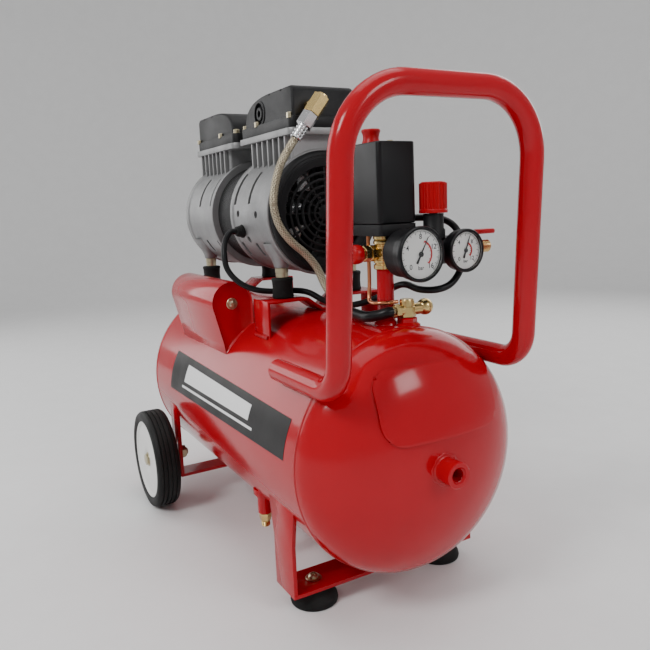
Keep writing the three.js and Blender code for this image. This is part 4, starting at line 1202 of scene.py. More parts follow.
# ---------------------------------------------------------------- wheels
class COMPRESSOR_OT_wheels(Build, bpy.types.Operator):
    """Models the wheel bracket, the axle bolts, the wheels and their tyres"""

    bl_idname = "compressor.wheels"
    bl_label = "Wheels"

    INNER = 137
    WIDTH = 32
    RIM = 54

    def execute(self, context):
        paint = finishes()
        strap = refined_copy("wheel_bracket", 0.8)
        placed(strap, "wheel_strap", paint.enamel, replaces=["wheel_bracket"])
        for side, sign in (("left", 1), ("right", -1)):
            centre = at(AXLE_X, 0, WHEEL_RADIUS)
            out = Y * sign
            tyre = turned(self.tread(), centre + out * self.INNER * MM, out, 96)
            placed(
                tyre, f"tyre_tread_{side}", paint.tyre, f"wheel_{side}", [f"tyre_{side}"], 50
            )
            wheel = turned(self.dish(), centre + out * self.INNER * MM, out, 96)
            placed(
                wheel, f"wheel_disc_{side}", paint.white, f"wheel_{side}", [f"wheel_{side}"]
            )
            self.axle(side, centre, out)
        return {"FINISHED"}

    def tread(self):
        """The tyre's section: shoulders, flat tread and square-bottomed grooves."""
        depth = sizes().tread_depth / MM
        grooves = sizes().tread_grooves
        crown, width = WHEEL_RADIUS, self.WIDTH
        section = [
            [self.RIM, 1.5], [self.RIM + 3, 0.4], [crown - 6, 0], [crown - 2.4, 1.2], [crown - 0.6, 3.6]
        ]
        pitch = (width - 9) / grooves
        for groove in range(grooves):
            start = 4.5 + pitch * groove + pitch * 0.34
            section += [
                [crown, start],
                [crown - depth, start + 0.5],
                [crown - depth, start + pitch * 0.3],
                [crown, start + pitch * 0.3 + 0.5],
            ]
        section += [[crown - 0.6, width - 3.6], [crown - 2.4, width - 1.2], [crown - 6, width]]
        section += [[self.RIM + 3, width - 0.4], [self.RIM, width - 1.5], [self.RIM, 1.5]]
        return section

    def dish(self):
        """The wheel's section: a smooth disc, slightly domed, with a dimple for the bolt."""
        rim = self.RIM - 0.3
        face = self.WIDTH - 5
        start = -16 + 3.5
        return [
            [5.5, start], [12, start], [13, start + 1], [13, face - 6], [rim - 5, face - 6], [rim - 5, 2.4],
            [rim - 4, 1.6], [rim, 1.6], [rim, self.WIDTH - 2.2], [rim - 1.2, self.WIDTH - 1.6],
            [rim - 3.4, self.WIDTH - 2.2], [rim - 5.4, face + 1.2], [rim - 12, face + 1.6], [24, face + 2.2],
            [15, face + 2], [12.4, face + 0.6], [11, face], [5.5, face], [5.5, start],
        ]

    def axle(self, side, centre, out):
        paint = finishes()
        face = centre + out * (self.INNER + self.WIDTH - 5 + 0.3) * MM
        washer = turned([[0, 0], [9.6, 0], [10, 0.4], [9.6, 1.1], [0, 1.1]], face, out, 48)
        head = turned([[0, 1], [8.2, 1], [8.2, 3.6], [7.4, 4.4], [0, 4.4]], face, out, 6)
        inner = centre + out * (121 - 2 - 0.3) * MM
        shank = rod(inner - out * 11 * MM, face + out * 0.5 * MM, 5, 40, 0.8)
        nut = turned([[0, -8], [8.4, -8], [9.4, -7.2], [9.4, -0.8], [8.4, 0], [0, 0]], inner, out, 6)
        bolt = joined([washer, head, shank, nut])
        placed(bolt, f"axle_bolt_{side}", paint.zinc, replaces=[f"axle_{side}"])


# ---------------------------------------------------------------- platforms and mounts
class COMPRESSOR_OT_platforms(Build, bpy.types.Operator):
    """Models the pump platforms, the rubber mounts and their spacers"""

    bl_idname = "compressor.platforms"
    bl_label = "Platforms and mounts"

    def execute(self, context):
        paint = finishes()
        for end in ("front", "rear"):
            strap = refined_copy(f"{end}_platform", 0.7)
            placed(strap, f"{end}_saddle", paint.enamel, replaces=[f"{end}_platform"])
            low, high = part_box(f"{end}_platform")
            for side, sign in (("left", 1), ("right", -1)):
                y = sign * (high.y - 1 * MM)
                x = low.x + 3 * MM
                line = []
                for step in range(16):
                    wobble = 0.4 * math.sin(step * 1.9)
                    span = (high.x - low.x - 6 * MM) * step / 15
                    z = tank_height(y / MM) + 0.4 + wobble
                    line.append(Vector((x + span, y + sign * 1.4 * MM, z * MM)))
                bead = swept(line, 2.4, 12)
                placed(bead, f"{end}_saddle_weld_{side}", paint.weld, smooth=80)
                self.mount(end, side)
        return {"FINISHED"}

    @staticmethod
    def mount(end, side):
        paint = finishes()
        node_name = f"mount_{end}_{side}"
        low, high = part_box(node_name)
        base = Vector(((low.x + high.x) / 2, (low.y + high.y) / 2, low.z))
        tall = (high.z - low.z) / MM
        section = [[0, 0], [11.6, 0], [12.4, 0.7], [12.5, 2.6], [12, 4], [11.5, tall / 2]]
        section += [[12, tall - 4], [12.5, tall - 2.6], [12.4, tall - 0.7], [11.6, tall], [0, tall]]
        pad = turned(section, base, Z, 64)
        placed(pad, f"rubber_{node_name}", paint.rubber, replaces=[node_name], smooth=50)
        top = base + Z * (high.z - low.z + 0.3 * MM)
        spacer = turned(
            [
                [0, 0], [6.6, 0], [7.2, 0.6], [7.2, 5.6], [7.6, 6], [7.6, 10.8], [7, 11.4], [0, 11.4]
            ], top, Z, 12
        )
        placed(spacer, f"spacer_{end}_{side}", paint.zinc)


# ---------------------------------------------------------------- capacitor cover
class COMPRESSOR_OT_capacitor_cover(Build, bpy.types.Operator):
    """Rolls the sheet cover over the capacitor and sets in its end plates"""

    bl_idname = "compressor.capacitor_cover"
    bl_label = "Capacitor cover"

    def execute(self, context):
        paint = finishes()
        low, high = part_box("capacitor_cover")
        radius = 25.5
        outer = high.y / MM - radius
        middle = high.z / MM - radius
        rear, front = low.x / MM - TANK_MIDDLE / MM, high.x / MM - TANK_MIDDLE / MM
        outline = [(outer + radius, middle - 20)]
        bend = math.radians(200)
        steps = 36
        for step in range(steps + 1):
            angle = bend * step / steps
            outline.append((outer + radius * math.cos(angle), middle + radius * math.sin(angle)))
        outline.append((outer - radius * 0.32 - 6, low.z / MM + 8))
        for step in range(9):
            y = outer - radius * 0.32 - 4 + step * (radius * 1.32 + 4) / 8
            outline.append((y, tank_height(y) - 0.4))
        sheet = plate([at(rear, y, z) for y, z in outline], X * (high.x - low.x))
        pick(sheet)
        bpy.ops.object.mode_set(mode="EDIT")
        for place, direction in ((front, -1), (rear, 1)):
            mesh = bmesh.from_edit_mesh(sheet.data)
            bpy.ops.mesh.select_all(action="DESELECT")
            bpy.ops.mesh.select_mode(type="FACE")
            plane = at(place, 0, 0).x
            for face in mesh.faces:
                face.select_set(
                    abs(face.normal.x) > 0.99 and abs(face.calc_center_median().x - plane) < MM
                )
            bmesh.update_edit_mesh(sheet.data)
            bpy.ops.mesh.inset(thickness=1.5 * MM, depth=0)
            bpy.ops.transform.translate(value=X * direction * 3 * MM)
        bpy.ops.mesh.select_mode(type="VERT")
        bpy.ops.object.mode_set(mode="OBJECT")
        cover = eased(sheet, 0.4, 2, 50)
        placed(cover, "capacitor_housing", paint.enamel, replaces=["capacitor_cover"], smooth=45)
        face = at(front - 3, outer, middle - 1)
        washer = turned([[0, -0.5], [7, -0.5], [7, 0.5], [6.5, 1], [0, 1]], face, X, 40)
        head = turned([[0, 0.8], [4.6, 0.8], [4.9, 1.8], [4.2, 3.2], [2.4, 4], [0, 4.2]], face, X, 40)
        for slot_size in ((0.7, 3.2), (3.2, 0.7)):
            reach = Vector((1.4, *slot_size)) * MM
            centre = face + X * 4.2 * MM
            head = combined(head, block(centre - reach, centre + reach), "DIFFERENCE")
        placed(joined([washer, head]), "capacitor_cover_screw", paint.zinc)
        return {"FINISHED"}


# ---------------------------------------------------------------- pump
def rear_copy(piece):
    """The rear half of the pump is the front half turned half way round."""
    return copied(piece, turn=math.pi, centre=in_pump(0, 0, 0))


def both_ends(make, finish, name, node_name, smooth=38):
    """Makes a piece for the front of the pump and its twin for the rear."""
    front = make()
    rear = rear_copy(front)
    for end, piece in (("front", front), ("rear", rear)):
        placed(
            piece, f"{end}_{name}", finish, replaces=[f"{end}_{node_name}"], smooth=smooth
        )


def rounded_outline(x0, x1, y0, y1, radius, z, steps=6):
    """Corners of a rounded rectangle in the pump's frame, ready for plate()."""
    points = []
    for cx, cy, start in (
        (x1 - radius, y1 - radius, 0),
        (x0 + radius, y1 - radius, 90),
        (x0 + radius, y0 + radius, 180),
        (x1 - radius, y0 + radius, 270),
    ):
        for step in range(steps + 1):
            angle = math.radians(start + 90 * step / steps)
            points.append(in_pump(cx + radius * math.cos(angle), cy + radius * math.sin(angle), z))
    return points


class COMPRESSOR_OT_motor(Build, bpy.types.Operator):
    """Models the stator, the crankcases with their fins and slots, and the lead's gland"""

    bl_idname = "compressor.motor"
    bl_label = "Motor and crankcases"

    RADIUS = 71
    START, END = 31.6, 140.8
    NECK_START, NECK_SIDE = 41.8, 38
    CYLINDER = 88

    def execute(self, context):
        paint = finishes()
        low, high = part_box("stator")
        half = (high.x - low.x) / 2 / MM
        section = [[32, -half], [62, -half], [62, half], [32, half], [32, -half]]
        ring = turned(section, in_pump(0, 0, 0), X, 96)
        placed(ring, "stator_stack", paint.laminations, replaces=["stator"])
        both_ends(self.crankcase, paint.cast, "crankcase_casting", "crankcase")
        self.gland()
        return {"FINISHED"}

    def bore(self):
        """The cylinder's bore, as a solid to cut with."""
        return rod(in_pump(self.CYLINDER, 0, 45), in_pump(self.CYLINDER, 0, 100), 31.8, 64, 0)

    def crankcase(self):
        radius, start, end = self.RADIUS, self.START, self.END
        wall = [[8.4, 55], [8.4, 61], [63, 61], [63, end], [radius - 0.8, end], [radius, end - 0.8]]
        wall += [[radius, end - 10], [radius - 1.6, end - 12], [radius - 1.6, start + 9]]
        wall += [[radius, start + 7], [radius, start + 0.8], [radius - 0.8, start], [62.3, start]]
        wall += [[62.3, 55], [8.4, 55]]
        drum = turned(wall, in_pump(0, 0, 0), X, 96)
        cuts = [self.bore()]
        for x in (43.6, 85.6):
            for side in (-1, 1):
                cuts += [self.slot(x, side, 28, 17), self.slot(x, side, -36, 8)]
        for x, angle in ((106, 0.6), (54, 2), (70, -24), (110, -30)):
            turn = math.radians(angle)
            out = Vector((0, -math.cos(turn), math.sin(turn))) * MM
            cuts.append(rod(in_pump(x, 0, 0) + out * 58, in_pump(x, 0, 0) + out * 80, 4.2, 24, 0))
        for cut in cuts:
            drum = combined(drum, cut, "DIFFERENCE")
        neck = block(
            in_pump(self.NECK_START, -self.NECK_SIDE, 52), in_pump(end - 0.5, self.NECK_SIDE, 86)
        )
        neck = combined(ease_upright_edges(neck, 5), self.bore(), "DIFFERENCE")
        deck = eased(plate(rounded_outline(8, 155, -45, 45, 10, 84.5), Z * 7.5 * MM), 0.8)
        deck = combined(deck, self.bore(), "DIFFERENCE")
        made = [drum, neck, deck]
        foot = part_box("mount_front_left")[1].z / MM + 11.8 - PUMP_AXIS
        flare = [[0, 0], [8, 0], [8.6, 1], [9.4, 5], [12, 11], [17, 19], [20, 28], [0, 28]]
        for side in (-1, 1):
            leg = turned(flare, in_pump(118, side * 46, foot), Z, 32)
            hollow = rod(in_pump(80, 0, 0), in_pump(160, 0, 0), 65, 90, 0)
            made.append(combined(leg, hollow, "DIFFERENCE"))
        return joined([*made, *self.fins()])

    def slot(self, x, side, centre, reach):
        """A curved slot through the drum's wall, as a solid to cut with."""
        outline = []
        for radius, order in ((58, 1), (78, -1)):
            for step in range(9):
                angle = math.radians(centre + order * reach * (step / 4 - 1))
                outline.append(
                    in_pump(x - 3.2, side * radius * math.cos(angle), radius * math.sin(angle))
                )
        return plate(outline, X * 6.4 * MM)

    def fins(self):
        count = sizes().fin_count
        thick = sizes().fin_thickness / MM
        pitch = (self.END - self.NECK_START - thick - 6) / (count - 1)
        made = []
        for side in (-1, 1):
            for index in range(count):
                x = self.NECK_START + 3 + pitch * index
                inner, outer = side * (self.NECK_SIDE - 2), side * 43.4
                low = in_pump(x, min(inner, outer), 54)
                high = in_pump(x + thick, max(inner, outer), 85.4)
                made.append(eased(block(low, high), 0.7))
        return made

    def gland(self):
        low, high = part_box("lead_gland")
        root = Vector(((low.x + high.x) / 2, high.y, (low.z + high.z) / 2))
        section = [[0, 0], [8, 0], [8, 2]]
        for ridge in range(3):
            d = 2.3 + ridge * 2.2
            r = 7.1 - ridge * 0.55
            section += [[r - 0.7, d], [r, d + 0.5], [r, d + 1.3], [r - 0.7, d + 1.8]]
        section += [[5.4, 9.2], [0, 9.2]]
        piece = turned(section, root, -Y, 48)
        placed(piece, "lead_grommet", finishes().rubber, replaces=["lead_gland"])


class COMPRESSOR_OT_cylinder_heads(Build, bpy.types.Operator):
    """Models the black cylinder heads, their ports and screws"""

    bl_idname = "compressor.cylinder_heads"
    bl_label = "Cylinder heads"

    def execute(self, context):
        paint = finishes()
        both_ends(self.head, paint.black_cast, "head_casting", "cylinder_head", 30)
        front = self.screws()
        rear = rear_copy(front)
        for end, piece in (("front", front), ("rear", rear)):
            placed(piece, f"{end}_head_screws", paint.zinc)
        return {"FINISHED"}

    @staticmethod
    def head():
        base = eased(plate(rounded_outline(11, 152, -42, 42, 8, HEAD_FLOOR), Z * 12 * MM), 1)
        shape = [(21, 93), (151, 93), (151, 131), (149, 135), (145, 136.3), (90, 136.3)]
        for step in range(1, 13):
            t = step / 12
            along = (1 - t) ** 2 * 90 + 2 * t * (1 - t) * 23 + t**2 * 21
            up = (1 - t) ** 2 * 136.3 + 2 * t * (1 - t) * 136.3 + t**2 * 108.3
            shape.append((along, up))
        cover = plate([in_pump(x, -39, z) for x, z in shape], Y * 78 * MM)
        cover = eased(cover, 3, 4, 28)
        recess = rod(in_pump(66, -45, 116.7), in_pump(66, -36, 116.7), 12.5, 64, 0)
        cover = combined(cover, recess, "DIFFERENCE")
        outlet = rod(in_pump(140, -18, 112.3), in_pump(160, -18, 112.3), 4, 32, 0)
        cover = combined(cover, outlet, "DIFFERENCE")
        for x in (52, 92, 122):
            groove = block(in_pump(x, -50, 133.5), in_pump(x + 4, 50, 140))
            cover = combined(cover, groove, "DIFFERENCE")
        port = turned(
            [
                [4, 0], [7, 0], [7.6, 0.6], [7.6, 3.4], [7, 4], [4, 4], [4, 0]
            ], in_pump(66, -36.2, 116.7), -Y, 48
        )
        lip = turned([[12.4, 0], [15, 0], [14.6, 1], [13, 1.6], [12.4, 1.6], [12.4, 0]],
                     in_pump(66, -38.8, 116.7), -Y, 64)
        return joined([base, cover, port, lip])

    @staticmethod
    def screws():
        made = []
        for x, y in ((16, -36), (16, 36), (16, 0)):
            seat = in_pump(x, y, HEAD_FLOOR + 12)
            washer = turned([[0, -0.4], [4.4, -0.4], [4.4, 0.6], [0, 0.6]], seat, Z, 32)
            head = turned([[0, 0.4], [3.6, 0.4], [3.8, 0.8], [3.8, 4], [3.4, 4.4], [1.9, 4.4], [1.9, 2.2], [0, 2.2]],
                          seat, Z, 32)
            made += [washer, head]
        for x, y in ((60, -41), (60, 41), (146, -41), (146, 41)):
            seat = in_pump(x, y * 0.985, HEAD_FLOOR + 12)
            made.append(turned([[0, -2], [3.4, -2], [3.4, 3.4], [3, 3.8], [0, 3.8]], seat, Z, 6))
        return joined(made)


class COMPRESSOR_OT_fan_covers(Build, bpy.types.Operator):
    """Models the fan covers with their rings and spokes"""

    bl_idname = "compressor.fan_covers"
    bl_label = "Fan covers"

    SPOKES = 12

    def execute(self, context):
        both_ends(self.cover, finishes().plastic, "fan_grille", "fan_cover")
        return {"FINISHED"}

    def cover(self):
        start = 141.1
        origin = in_pump(0, 0, 0)
        rim = [[50.4, start], [68.5, start], [68.5, start + 4], [67.6, start + 5.6], [65.4, start + 7]]
        rim += [[53, start + 7], [51.4, start + 6.4], [50.4, start + 4], [50.4, start]]
        made = [turned(rim, origin, X, 96)]
        for radius in (59.5, 63):
            bead = [[radius - 1, start + 6.6], [radius - 0.6, start + 7.8], [radius + 0.6, start + 7.8]]
            bead += [[radius + 1, start + 6.6], bead[0]]
            made.append(turned(bead, origin, X, 96))
        for radius in (13, 20.5, 28, 35.5, 43):
            bar = [[radius, start + 1], [radius + 2.6, start + 1], [radius + 2.6, start + 4.6]]
            bar += [[radius + 2, start + 5], [radius + 0.6, start + 5], [radius, start + 4.6], bar[0]]
            made.append(turned(bar, origin, X, 80))
        made.append(turned([[0, start + 1], [9, start + 1], [9, start + 4], [7, start + 5.4], [0, start + 5.8]],
                           origin, X, 64))
        for index in range(self.SPOKES):
            angle = TURN * index / self.SPOKES
            out = Vector((0, math.cos(angle), math.sin(angle))) * MM
            side = Vector((0, -math.sin(angle), math.cos(angle))) * MM
            foot = in_pump(start + 1, 0, 0)
            corners = [
                foot + out * 8 - side,
                foot + out * 51.5 - side,
                foot + out * 51.5 + side,
                foot + out * 8 + side,
            ]
            made.append(plate(corners, X * 3.2 * MM))
        return joined(made)


# ---------------------------------------------------------------- air path
def nut(base, direction, radius, length, rim=1.0):
    """A hexagon bar whose ends are turned down, as nuts and fittings are."""
    profile = [[0, 0], [radius - rim, 0], [radius, rim * 0.6], [radius, length - rim * 0.6]]
    return turned([*profile, [radius - rim, length], [0, length]], base, direction, 6)


class COMPRESSOR_OT_air_fittings(Build, bpy.types.Operator):
    """Models the delivery elbow, check valve, riser, manifold and safety valve"""

    bl_idname = "compressor.air_fittings"
    bl_label = "Air fittings"

    def execute(self, context):
        paint = finishes()
        self.elbow(paint)
        self.check_valve(paint)
        self.riser(paint)
        self.manifold(paint)
        self.safety_valve(paint)
        return {"FINISHED"}

    @staticmethod
    def elbow(paint):
        height = PUMP_AXIS + 112.3
        bend = at(112, -20, height)
        way = Vector((0, -0.62, -0.785)).normalized()
        inlet = nut(at(93.3, -18, height), X, 9, 9, 0.8)
        neck = rod(at(100, -18, height), at(112, -18, height), 6.4, 40, 0.4)
        body = nut(bend - way * 11 * MM, way, 9.5, 23)
        cap = turned([[0, 0], [6, 0], [6.4, 0.5], [6.4, 2.6], [0, 2.6]], bend - way * 13 * MM, way, 40)
        placed(joined([inlet, neck, body, cap]), "elbow_brass", paint.brass,
               replaces=["delivery_elbow"])
        collar = nut(bend + way * 12 * MM, way, 9.2, 16)
        crimp = [[0, 27], [6.2, 27]]
        for ring in range(4):
            crimp += [
                [6.2, 28 + ring * 4],
                [5.5, 29 + ring * 4],
                [5.5, 30.4 + ring * 4],
                [6.2, 31.4 + ring * 4],
            ]
        crimp += [[5.6, 44], [0, 44]]
        ferrule = turned(crimp, bend, way, 48)
        placed(joined([collar, ferrule]), "elbow_nut", paint.steel)

    @staticmethod
    def check_valve(paint):
        foot = tank_height(CHECK_Y) + 8.3
        branch = foot + 7
        made = [
            nut(at(CHECK_X, CHECK_Y, foot), Z, 9, 11),
            turned(
                [[0, 10.6], [7.4, 10.6], [7.4, 16], [6.6, 18], [0, 18]],
                at(CHECK_X, CHECK_Y, foot),
                Z,
                40,
            ),
            nut(at(CHECK_X, CHECK_Y - 15.5, branch), Y, 7, 6, 0.7),
            rod(at(CHECK_X, CHECK_Y - 10, branch), at(CHECK_X, CHECK_Y + 16, branch), 6, 40, 0.4),
        ]
        dome = []
        for step in range(13):
            angle = math.pi * step / 12
            dome.append([8.5 * math.sin(angle), -8.5 * math.cos(angle)])
        dome[0][0] = dome[-1][0] = 0
        made.append(turned(dome, at(CHECK_X, CHECK_Y + 22, branch + 1), Y, 48))
        placed(joined(made), "check_valve_brass", paint.brass, replaces=["check_valve"])

    @staticmethod
    def riser(paint):
        low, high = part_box("riser_pipe")
        base = Vector(((low.x + high.x) / 2, (low.y + high.y) / 2, TANK_TOP * MM))
        tall = high.z / MM - TANK_TOP
        profile = [
            [4, -1.5], [12.6, -1.5], [12, 1.4], [10.3, 3.4], [9, 5.4], [8.5, 6.4], [8.5, tall - 9]
        ]
        profile += [[8.5, tall - 0.6], [8, tall], [4, tall], [4, -1.5]]
        placed(turned(profile, base, Z, 64), "riser_tube", paint.enamel, replaces=["riser_pipe"])

    @staticmethod
    def manifold(paint):
        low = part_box("air_manifold")[0].z / MM
        tall = 33.4
        ridged = [[4, 0], [10, 0], [11, 0.8], [11, 4.6]]
        for ridge in range(5):
            d = 5.2 + ridge * 4.6
            ridged += [[9.6, d], [9.6, d + 1], [11, d + 1.7], [11, d + 4]]
        ridged += [[9.8, tall - 4], [11, tall - 3.4], [11, tall - 0.8], [10, tall], [4, tall], [4, 0]]
        column = turned(ridged, at(RISER_X, 0, low), Z, 64)
        side = rod(at(RISER_X + 8, 0, MANIFOLD_Z), at(215.7, 0, MANIFOLD_Z), 8, 40, 0.5)
        branch = nut(at(RISER_X, -8, MANIFOLD_Z), -Y, 8, 10)
        placed(joined([column, side, branch]), "manifold_brass", paint.brass,
               replaces=["air_manifold"])

    @staticmethod
    def safety_valve(paint):
        base = at(RISER_X, -18.3, MANIFOLD_Z)
        body = turned(
            [
                [1.9, 0],
                [7.2, 0],
                [8, 0.5],
                [8, 6.4],
                [7.2, 7],
                [6.4, 7.4],
                [6.4, 9.6],
                [1.9, 9.6],
                [1.9, 0],
            ],
            base, -Y, 6,
        )
        placed(body, "safety_valve_brass", paint.brass, replaces=["safety_valve"])
        cap = [[1.9, 9.7], [8.2, 9.7], [8.8, 10.6], [9.5, 13.7], [9.5, 17.4], [8.8, 19.4], [7, 20.7]]
        cap += [[1.9, 20.7], [1.9, 9.7]]
        placed(turned(cap, base, -Y, 64), "safety_valve_cap", paint.red_plastic)
        ring_centre = at(RISER_X, -48, MANIFOLD_Z)
        loop = []
        for step in range(33):
            angle = TURN * step / 32
            loop.append(ring_centre + Vector((0, math.cos(angle), math.sin(angle))) * 7 * MM)
        ring = swept(loop, 0.9, 12)
        stem = rod(at(RISER_X, -37, MANIFOLD_Z), at(RISER_X, -41.6, MANIFOLD_Z), 1.5, 20, 0.2)
        placed(joined([ring, stem]), "safety_ring_wire", paint.zinc, "safety_ring",
               ["safety_pull_ring"], 60)


# ---------------------------------------------------------------- switch and regulator
class COMPRESSOR_OT_pressure_switch(Build, bpy.types.Operator):
    """Models the pressure switch: base, cover and red knob"""

    bl_idname = "compressor.pressure_switch"
    bl_label = "Pressure switch"

    def execute(self, context):
        paint = finishes()
        base_low, base_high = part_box("switch_base")
        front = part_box("switch_cover")[1].x
        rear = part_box("switch_cover")[0].x
        base = block(Vector((rear, base_low.y, base_low.z)), Vector((front, base_high.y, base_high.z)))
        base = eased(ease_upright_edges(base, 4), 0.6)
        gland = [[0, 0], [6.4, 0], [6.4, 3]]
        for ridge in range(4):
            d = 3.4 + ridge * 2.5
            gland += [[4.6, d], [5.4, d + 0.5], [5.4, d + 1.5], [4.6, d + 2]]
        gland += [[4.4, 13.6], [0, 13.6]]
        entry = turned(gland, Vector((rear + 2.5 * MM, 0, (base_low.z + base_high.z) / 2)), -X, 40)
        placed(joined([base, entry]), "switch_base_moulding", paint.plastic,
               replaces=["switch_base"])
        low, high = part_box("switch_cover")
        cover = eased(ease_upright_edges(block(low, high), 5), 1.6, 4, 60)
        bore = rod(at(184, 0, SWITCH_TOP - 26), at(184, 0, SWITCH_TOP + 4), 4.6, 40, 0)
        cover = combined(cover, bore, "DIFFERENCE")
        collar = turned(
            [[5, -1], [12.5, -1], [12, 0.5], [5, 0.5], [5, -1]], at(184, 0, SWITCH_TOP), Z, 48
        )
        placed(joined([cover, collar]), "switch_cover_moulding", paint.gloss_black,
               replaces=["switch_cover"])
        lock = turned([[0, -0.5], [3.4, -0.5], [3.4, 0.8], [2.8, 1.6], [1.2, 1.6], [1.2, 0.8], [0, 0.8]],
                      at(216, 0, SWITCH_TOP), Z, 32)
        placed(lock, "switch_cover_screw", paint.zinc)
        profile = [[0, 1], [8.9, 1], [9.5, 1.6], [8.4, 4.4], [8, 6.6], [8.1, 9], [8.8, 11.4], [9.5, 13]]
        profile += [[9.5, 14.2], [8.9, 15], [0, 15]]
        knob = turned(profile, at(184, 0, SWITCH_TOP), Z, 64)
        stem = rod(at(184, 0, SWITCH_TOP - 20), at(184, 0, SWITCH_TOP + 3), 4, 32, 0.4)
        placed(joined([knob, stem]), "switch_knob_moulding", paint.red_plastic, "switch_knob",
               ["switch_knob"])
        return {"FINISHED"}


class COMPRESSOR_OT_regulator(Build, bpy.types.Operator):
    """Models the regulator's body and its ribbed red knob"""

    bl_idname = "compressor.regulator"
    bl_label = "Regulator"

    X_MIDDLE = 230
    KNOB_Y = 39.5

    def execute(self, context):
        paint = finishes()
        x, z = self.X_MIDDLE, MANIFOLD_Z
        bar = [[0, 0], [12.8, 0], [14, 1.2], [14, 20], [13.2, 21], [13.2, 48], [14, 49], [14, 69.3]]
        bar += [[12.8, 70.5], [0, 70.5]]
        neck_top = SWITCH_FLOOR + 19
        made = [
            turned([[0, -1], [22, -1], [23, 0], [23, 15], [22, 16], [0, 16]], at(x, 2.5, z), X, 80),
            turned(bar, at(x, -12.5, z), Y, 64),
            turned([[0, 5], [9.4, 5], [9.4, 10], [8, 11], [8, 16], [0, 16]], at(x, 56, z), X, 48),
            turned([[0, 0], [11.4, 12], [11.4, 20], [10, 22], [10, neck_top - z], [0, neck_top - z]],
                   at(x, self.KNOB_Y, z), Z, 64),
            rod(at(x, self.KNOB_Y, neck_top - 2), at(x, self.KNOB_Y, SWITCH_FLOOR + 30), 4, 32, 0.4),
        ]
        placed(joined(made), "regulator_housing", paint.plastic,
               replaces=["regulator_body"])
        self.knob(paint)
        return {"FINISHED"}

    def knob(self, paint):
        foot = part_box("regulator_knob")[0].z / MM
        tall = (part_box("regulator_knob")[1].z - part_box("regulator_knob")[0].z) / MM
        count = sizes().knob_ribs
        outline = []
        for index in range(count * 4):
            angle = TURN * index / (count * 4)
            radius = 13.6 if index % 4 < 2 else 12.5
            outline.append(
                at(
                    self.X_MIDDLE + radius * math.cos(angle),
                    self.KNOB_Y + radius * math.sin(angle),
                    foot + 3.6,
                )
            )
        grip = plate(outline, Z * (tall - 5) * MM)
        socket = rod(
            at(self.X_MIDDLE, self.KNOB_Y, foot - 4),
            at(self.X_MIDDLE, self.KNOB_Y, foot + 14),
            4.5,
            40,
            0,
        )
        grip = combined(grip, socket, "DIFFERENCE")
        skirt = turned([[4.5, 0], [13.6, 0], [14, 0.4], [14, 3], [13.2, 4], [4.5, 4], [4.5, 0]],
                       at(self.X_MIDDLE, self.KNOB_Y, foot), Z, 80)
        crown = turned(
            [[0, tall - 3], [12.4, tall - 3], [12.2, tall - 0.8], [11.2, tall], [8.2, tall], [7.6, tall - 0.8],
             [0, tall - 0.8]],
            at(self.X_MIDDLE, self.KNOB_Y, foot), Z, 80,
        )
        knob = joined([grip, skirt, crown])
        placed(knob, "regulator_knob_grip", paint.red_plastic, "regulator_knob",
               ["regulator_knob"])


